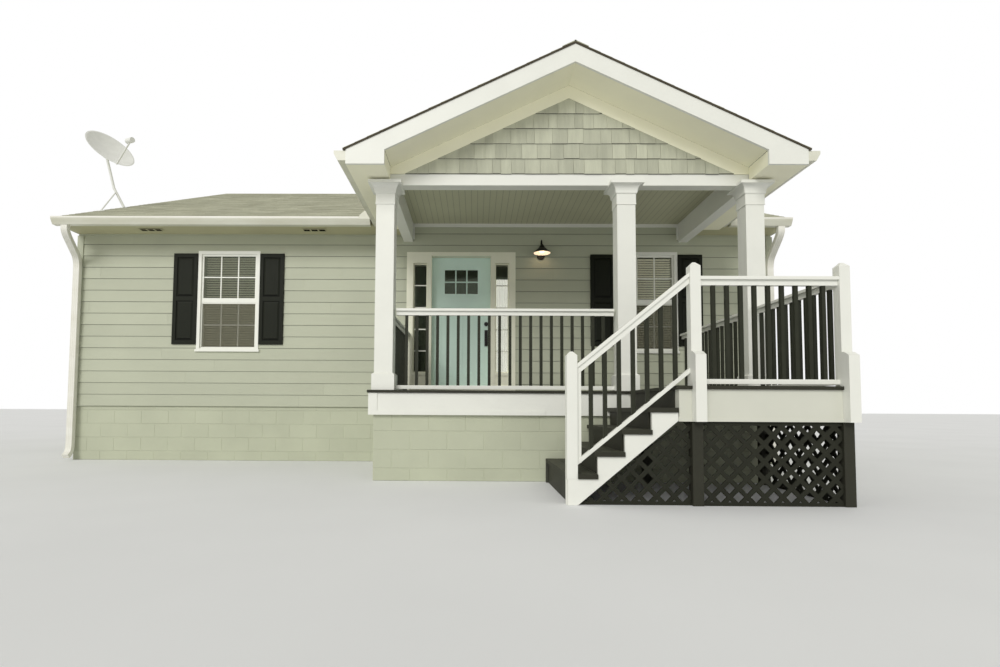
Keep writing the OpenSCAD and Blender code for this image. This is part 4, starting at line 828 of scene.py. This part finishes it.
# ---- railings
def rail_profile(w, t, edge):
    """A bar w wide and t high whose upper edges are rounded by a quarter circle of radius edge."""
    a = np.linspace(0, np.pi / 2, 5)
    right_side = np.stack([w / 2 - edge + edge * np.cos(a), t - edge + edge * np.sin(a)], -1)
    left_side = np.stack([-w / 2 + edge - edge * np.sin(a), t - edge + edge * np.cos(a)], -1)
    return np.concatenate([[(-w / 2, 0), (w / 2, 0)], right_side, left_side])


def railing_pieces(name, rails, posts):
    """The white bars and the dark balusters that take a plain railing's place."""
    piece(name + "_bars", rails, "trim_paint", replaces=(name,))
    piece(name + "_balusters", posts, "baluster_paint", replaces=(name,))


def level_rail(name, opening=()):
    """White rails carried from end to end of a straight railing along X or Y, and its balusters at
    equal steps. An opening (start, end) splits it in two runs."""
    lo, hi = corner(name)
    along = int(hi[1] - lo[1] > hi[0] - lo[0])
    mid = middle(name)[1 - along]
    across = (1, 0, 0) if along else (0, -1, 0)
    ends = [lo[along], *opening, hi[along]]
    foot, sub = FLOOR_HI[2] + FOOT_GAP, RAIL_TOP - CAP_T - SUB_H
    bars = [(RAIL_TOP - CAP_T, rail_profile(CAP_W, CAP_T, 0.008)),
            (sub, rail_profile(BAR_W, SUB_H - 0.001, 0.002)),
            (foot, rail_profile(BAR_W, FOOT_H, 0.004))]
    half = np.array([BAL_W / 2, BAL_W / 2, 0])

    def points(t, z):
        m, z = np.full(len(t), mid), np.full(len(t), z)
        return np.stack([m, t, z] if along else [t, m, z], -1)

    rails, posts = [], []
    for a, b in zip(ends[::2], ends[1::2]):
        rails += [carried(profile, points([b, a], z), across) for z, profile in bars]
        n = math.ceil((b - a) / BAL_STEP) - 1
        t = a + (b - a) * np.arange(1, n + 1) / (n + 1)
        posts.append(boxes(points(t, foot + FOOT_H - 0.001) - half, points(t, sub + 0.001) + half))
    railing_pieces(name, rails, posts)


def build_stair_railing():
    """Three white bars that climb at the slope of the steps, the strip beside the foot post, and
    balusters whose feet and heads follow that slope: z = foot + (x - x0) * slope."""
    (x0, _, _), (x1, _, top) = corner("stair_railing")
    mid = middle("stair_railing")[1]
    slope = (top - 1.170) / (x1 - x0)      # from the cap's top at the foot post

    def bar(z0, t, w, edge):
        path = [[x1, mid, z0 + (x1 - x0) * slope], [x0, mid, z0]]
        return carried(rail_profile(w, t, edge), path, (0, -1, 0))

    strip = BAR_W / 2 - 0.003
    rails = [bar(1.136, 0.034, 0.070, 0.008), bar(1.078, 0.057, BAR_W, 0.002),
             bar(0.326, 0.042, BAR_W, 0.004),
             boxes([x0 - 0.001, mid - strip, 0.345], [x0 + 0.034, mid + strip, 1.130])]
    x = x0 + (x1 - x0) * np.arange(1, 8) / 8
    foot = np.stack([x, np.full(7, mid), (x - x0) * slope], -1)
    posts = boxes(foot + [-BAL_W / 2, -BAL_W / 2, 0.348], foot + [BAL_W / 2, BAL_W / 2, 1.090])
    railing_pieces("stair_railing", rails, [posts])


# ---- floor boards and the top riser
def board_field(lo, hi, width, seed, cut=()):
    """Boards along Y on top of the box from lo to hi, a gap apart; those over a cut (x0, x1, y)
    start at its y."""
    n = max(1, round((hi[0] - lo[0]) / width))
    edge = np.linspace(lo[0], hi[0], n + 1)
    near = np.full(n, lo[1])
    for x0, x1, y in cut:
        near = np.where((edge[1:] > x0) & (edge[:-1] < x1), y, near)
    level = Plane((0, 0, hi[2]), (1, 0, 0), (0, 1, 0))
    boards = plates(level, edge[:-1] + BOARD_GAP / 2, edge[1:] - BOARD_GAP / 2, near, hi[1],
                    0.002, 0.001, sink=0.002)
    return boards, np.random.default_rng(seed).uniform(0, 1, n)


def build_floor_boards():
    """Boards on the porch, the deck and the treads, which have two each, and the riser at the deck.
    They stop at the deck's posts and at the newel post."""
    dlo, dhi = corner("deck_floor")
    tlo, thi = corner("stair_treads")
    plo, phi = corner("deck_posts")
    nlo, nhi = corner("newel_post")
    behind = phi[1] + 0.001
    posts = [(plo[0], plo[0] + POST_W, behind), (phi[0] - POST_W, phi[0] + 0.02, behind)]
    made = [board_field(FLOOR_LO, FLOOR_HI, 0.083, 61), board_field(dlo, dhi, 0.139, 62, posts)]
    for k in range(TREADS):
        x0 = tlo[0] + k * STEP_RUN
        far = min(x0 + STEP_RUN + 0.024, thi[0]), thi[1], FIRST_RISE + k * RISE
        newel = [(nlo[0], nhi[0], nhi[1])] if k == 0 else []
        made.append(board_field((x0, tlo[1]), far, 0.125, 63 + k, newel))
    toned("floor_boards", made, "deck_paint")
    slo, shi = corner("stair_risers")
    rim_x = plo[0] - 0.106
    last_tread = FIRST_RISE + (TREADS - 1) * RISE
    riser = boxes([rim_x - 0.0075, slo[1], last_tread + 0.001],
                  [rim_x - 0.0005, shi[1], dlo[2] - 0.001])
    piece("top_riser", [riser], "dark_paint")


# ---- shutters, vents, gutters and lamp
def build_shutter_panels():
    """A raised field with wide sloped edges in both panels of every shutter, and thin faces on the
    level rails and the stiles round them, which meet without overlap."""
    out, inner, stile, edge, high = 0.1815, 0.128, 0.055, 0.012, 0.5985
    half = SHUTTER_HALF - stile - edge
    mids = np.array([x + s * (WINDOW_HALF + 0.003 + SHUTTER_HALF)
                     for x in FRONT_WINDOWS for s in (-1, 1)])
    parts = [plates(front.back(-0.024), mids - half, mids + half, z + edge, z + high - edge,
                    0.0068, 0.020) for z in (1.797, 2.4615)]
    rows = [(-out, out, 1.738, 1.7965), (-out, out, 2.3960, 2.4610), (-out, out, 3.0605, 3.119)]
    rows += [(a, b, z0, z1) for a, b in ((-out, -inner), (inner, out))
             for z0, z1 in ((1.797, 2.3955), (2.4615, 3.060))]
    parts += [plates(front.back(-0.032), mids + a, mids + b, z0, z1, 0.0008, 0.0004, 0.0005)
              for a, b, z0, z1 in rows]
    toned("shutter_panels", [(p, np.zeros(len(mids))) for p in parts], "shutter_paint")


def build_soffit_vents():
    """Two vents in the front eave: a thin white plate with three dark openings in a row."""
    eave = Plane((0, 0, EAVE_UNDER), (1, 0, 0), (0, -1, 0))
    v0, v1, margin, rib = 0.325, 0.405, 0.008, 0.010
    covers, holes = [], []
    for x0, x1 in ((-4.1675, -3.8405), (-1.7465, -1.4065)):
        covers.append(plates(eave, x0 - margin, x1 + margin, v0 - margin, v1 + margin,
                             0.002, 0.001, 0.002))
        w = (x1 - x0) / 3
        u0 = x0 + w * np.arange(3)
        holes.append(plates(eave, u0 + rib, u0 + w - rib, v0, v1, 0.0028, 0.001, 0.002))
    # the vent plates take the soffit's painted shade
    piece("vent_plates", covers, "soffit_paint")
    piece("vent_openings", holes, "vent_mesh")


def build_gutter_lips():
    """The rolled edge along the top of the front gutter, on both sides of the porch."""
    lo, hi = corner("gutters")
    y, z, deep, high = -SEAT - EAVE_OUT - GUTTER_D - 0.005, 3.4795, 0.011, 0.0235
    runs = ((lo[0] + 0.0005, -0.856), (4.425, hi[0] - 0.0005))
    lips = boxes([[a, y, z] for a, b in runs], [[b, y + deep, z + high] for a, b in runs])
    piece("gutter_lips", [lips], "spout_enamel")


def build_lamp_lining():
    """White lining of the lamp's shade, a sheet just inside its cone, whose glow is painted light
    from the bulb.
    """
    centre = np.array([*middle("light_bulb")[:2], 3.098])
    cone = np.array([(0.1235, 0.0032), (0.1095, 0.0188), (0.0776, 0.0476), (0.0456, 0.0776)])
    lining = turned(np.concatenate([cone, cone[::-1] - (0.0016, 0.0012)]), centre)
    piece("glowing_shade_lining", [lining], "glowing_shade_lining")


def spout_section():
    """Section of a downspout: a rectangle with rounded corners and three shallow flutes on each of
    its wide faces."""
    w, d, r, flutes, deep = 0.048, 0.036, 0.008, 3, 0.0035
    t = np.linspace(0, 1, 25)[1:-1]
    dip = deep * (0.5 - 0.5 * np.cos(flutes * 2 * np.pi * t))
    a = np.linspace(0, np.pi / 2, 4)
    half = np.concatenate([np.stack([w - r + r * np.cos(a), d - r + r * np.sin(a)], -1),
                           np.stack([(w - r) - 2 * (w - r) * t, d - dip], -1),
                           np.stack([-(w - r) - r * np.sin(a), d - r + r * np.cos(a)], -1)])
    return np.concatenate([half, -half])


def build_downspouts():
    """Fluted pipes that leave the gutter, bend back to the wall, run down it and kick out at the
    foot."""
    y_top, y_wall = -SEAT - EAVE_OUT - GUTTER_D * 0.35, -SEAT - 0.020 - 0.004 - 0.038
    made = []
    for x_top, x_wall in ((LEFT_X + 0.140, LEFT_X + 0.029), (RIGHT_X - 0.110, RIGHT_X - 0.052)):
        path = bent([(x_top, y_top, 3.400), (x_top, y_top, 3.300), (x_wall, y_wall, 3.020),
                     (x_wall, y_wall, 0.130), (x_wall, y_wall - 0.085, 0.058)], 0.13, 9)
        ahead = np.gradient(path, axis=0)
        ahead /= np.linalg.norm(ahead, axis=1)[:, None]
        side = np.array([1.0, 0.0, 0.0]) - ahead[:, :1] * ahead
        side /= np.linalg.norm(side, axis=1)[:, None]
        made.append(carried(spout_section(), path, side, np.cross(ahead, side)))
    piece("fluted_downspouts", made, "spout_enamel", replaces=("downspouts",))


build_siding()
build_roofs()
build_gable_shakes()
build_blocks()
build_window_details()
build_entrance()
for railing in ("bay_railing", "side_railing", "deck_railing"):
    level_rail(railing)
level_rail("deck_side_railing", (COLUMN_MID - COLUMN_ROOM, COLUMN_MID + COLUMN_ROOM))
build_stair_railing()
build_floor_boards()
build_shutter_panels()
build_soffit_vents()
build_gutter_lips()
build_lamp_lining()
build_downspouts()


# ---- camera, light and floor
CAMERA_AT = (0.8132, -8.3362 - SEAT, 0.7895)
YAW, PITCH, ROLL = 0.0102, 0.0521, 0.0054
LENS, SHIFT = 20.086, (0.0300, 0.0462)


def set_camera():
    """Looks along (-sin yaw, cos yaw) raised by the pitch, rolled a little, with a shifted lens."""
    ahead = np.array([-math.sin(YAW) * math.cos(PITCH), math.cos(YAW) * math.cos(PITCH),
                      math.sin(PITCH)])
    side = np.array([math.cos(YAW), math.sin(YAW), 0.0])
    up = np.cross(side, ahead)
    side, up = (side * math.cos(ROLL) + up * math.sin(ROLL),
                up * math.cos(ROLL) - side * math.sin(ROLL))
    data = bpy.data.cameras.new("photo_camera")
    data.lens, data.sensor_width = LENS, 36.0
    data.shift_x, data.shift_y = SHIFT
    data.clip_start, data.clip_end = 0.05, 500.0
    cam = placed("photo_camera", data)
    place = np.eye(4)
    place[:3] = np.stack([side, up, -ahead, CAMERA_AT], 1)
    cam.matrix_world = Matrix(place.tolist())
    bpy.context.scene.camera = cam


def set_light():
    """An even pale sky, and one soft lamp from the front left, about 29 degrees up. Rays from the
    camera and mirrored or passing ones see a plain white surround instead of the sky."""
    world = bpy.data.worlds.new("studio")
    world.use_nodes = True
    bpy.context.scene.world = world
    t = world.node_tree
    t.nodes.clear()
    path = add(t, "LightPath").outputs
    seen_by = path["Is Camera Ray"]
    for kind in ("Is Glossy Ray", "Is Transmission Ray"):
        seen_by = add(t, "Math", {0: seen_by, 1: path[kind]}, operation="MAXIMUM").outputs[0]
    sky = add(t, "Background", {"Color": (1.0, 0.99, 0.93, 1.0), "Strength": 0.54})
    seen = add(t, "Background", {"Color": (1, 1, 1, 1), "Strength": 1.0})
    mix = add(t, "MixShader", {0: seen_by, 1: sky.outputs[0], 2: seen.outputs[0]})
    add(t, "OutputWorld", {"Surface": mix.outputs[0]})
    sun = bpy.data.lights.new("soft_sun", "SUN")
    sun.energy, sun.angle, sun.color = 1.50, math.radians(26), (1.0, 0.985, 0.95)
    placed("soft_sun", sun).rotation_euler = [math.radians(a) for a in (60.5, -6, -18)]


def set_floor():
    """A wide pale floor that is not part of the house."""
    mesh = bpy.data.meshes.new("studio_floor")
    s, z = 160.0, -0.001
    mesh.from_pydata([(-s, -s, z), (s, -s, z), (s, s, z), (-s, s, z)], [], [(0, 1, 2, 3)])
    f = Finish("studio_floor", 0.9)
    f.to("Base Color", f.between(f.noise(0.4, 3.0), (0.82, 0.83, 0.845, 1), (0.86, 0.87, 0.885, 1)))
    mesh.materials.append(FINISHES["studio_floor"])
    placed("studio_floor", mesh)


set_camera()
set_light()
set_floor()
bpy.context.scene.view_settings.view_transform = "Standard"
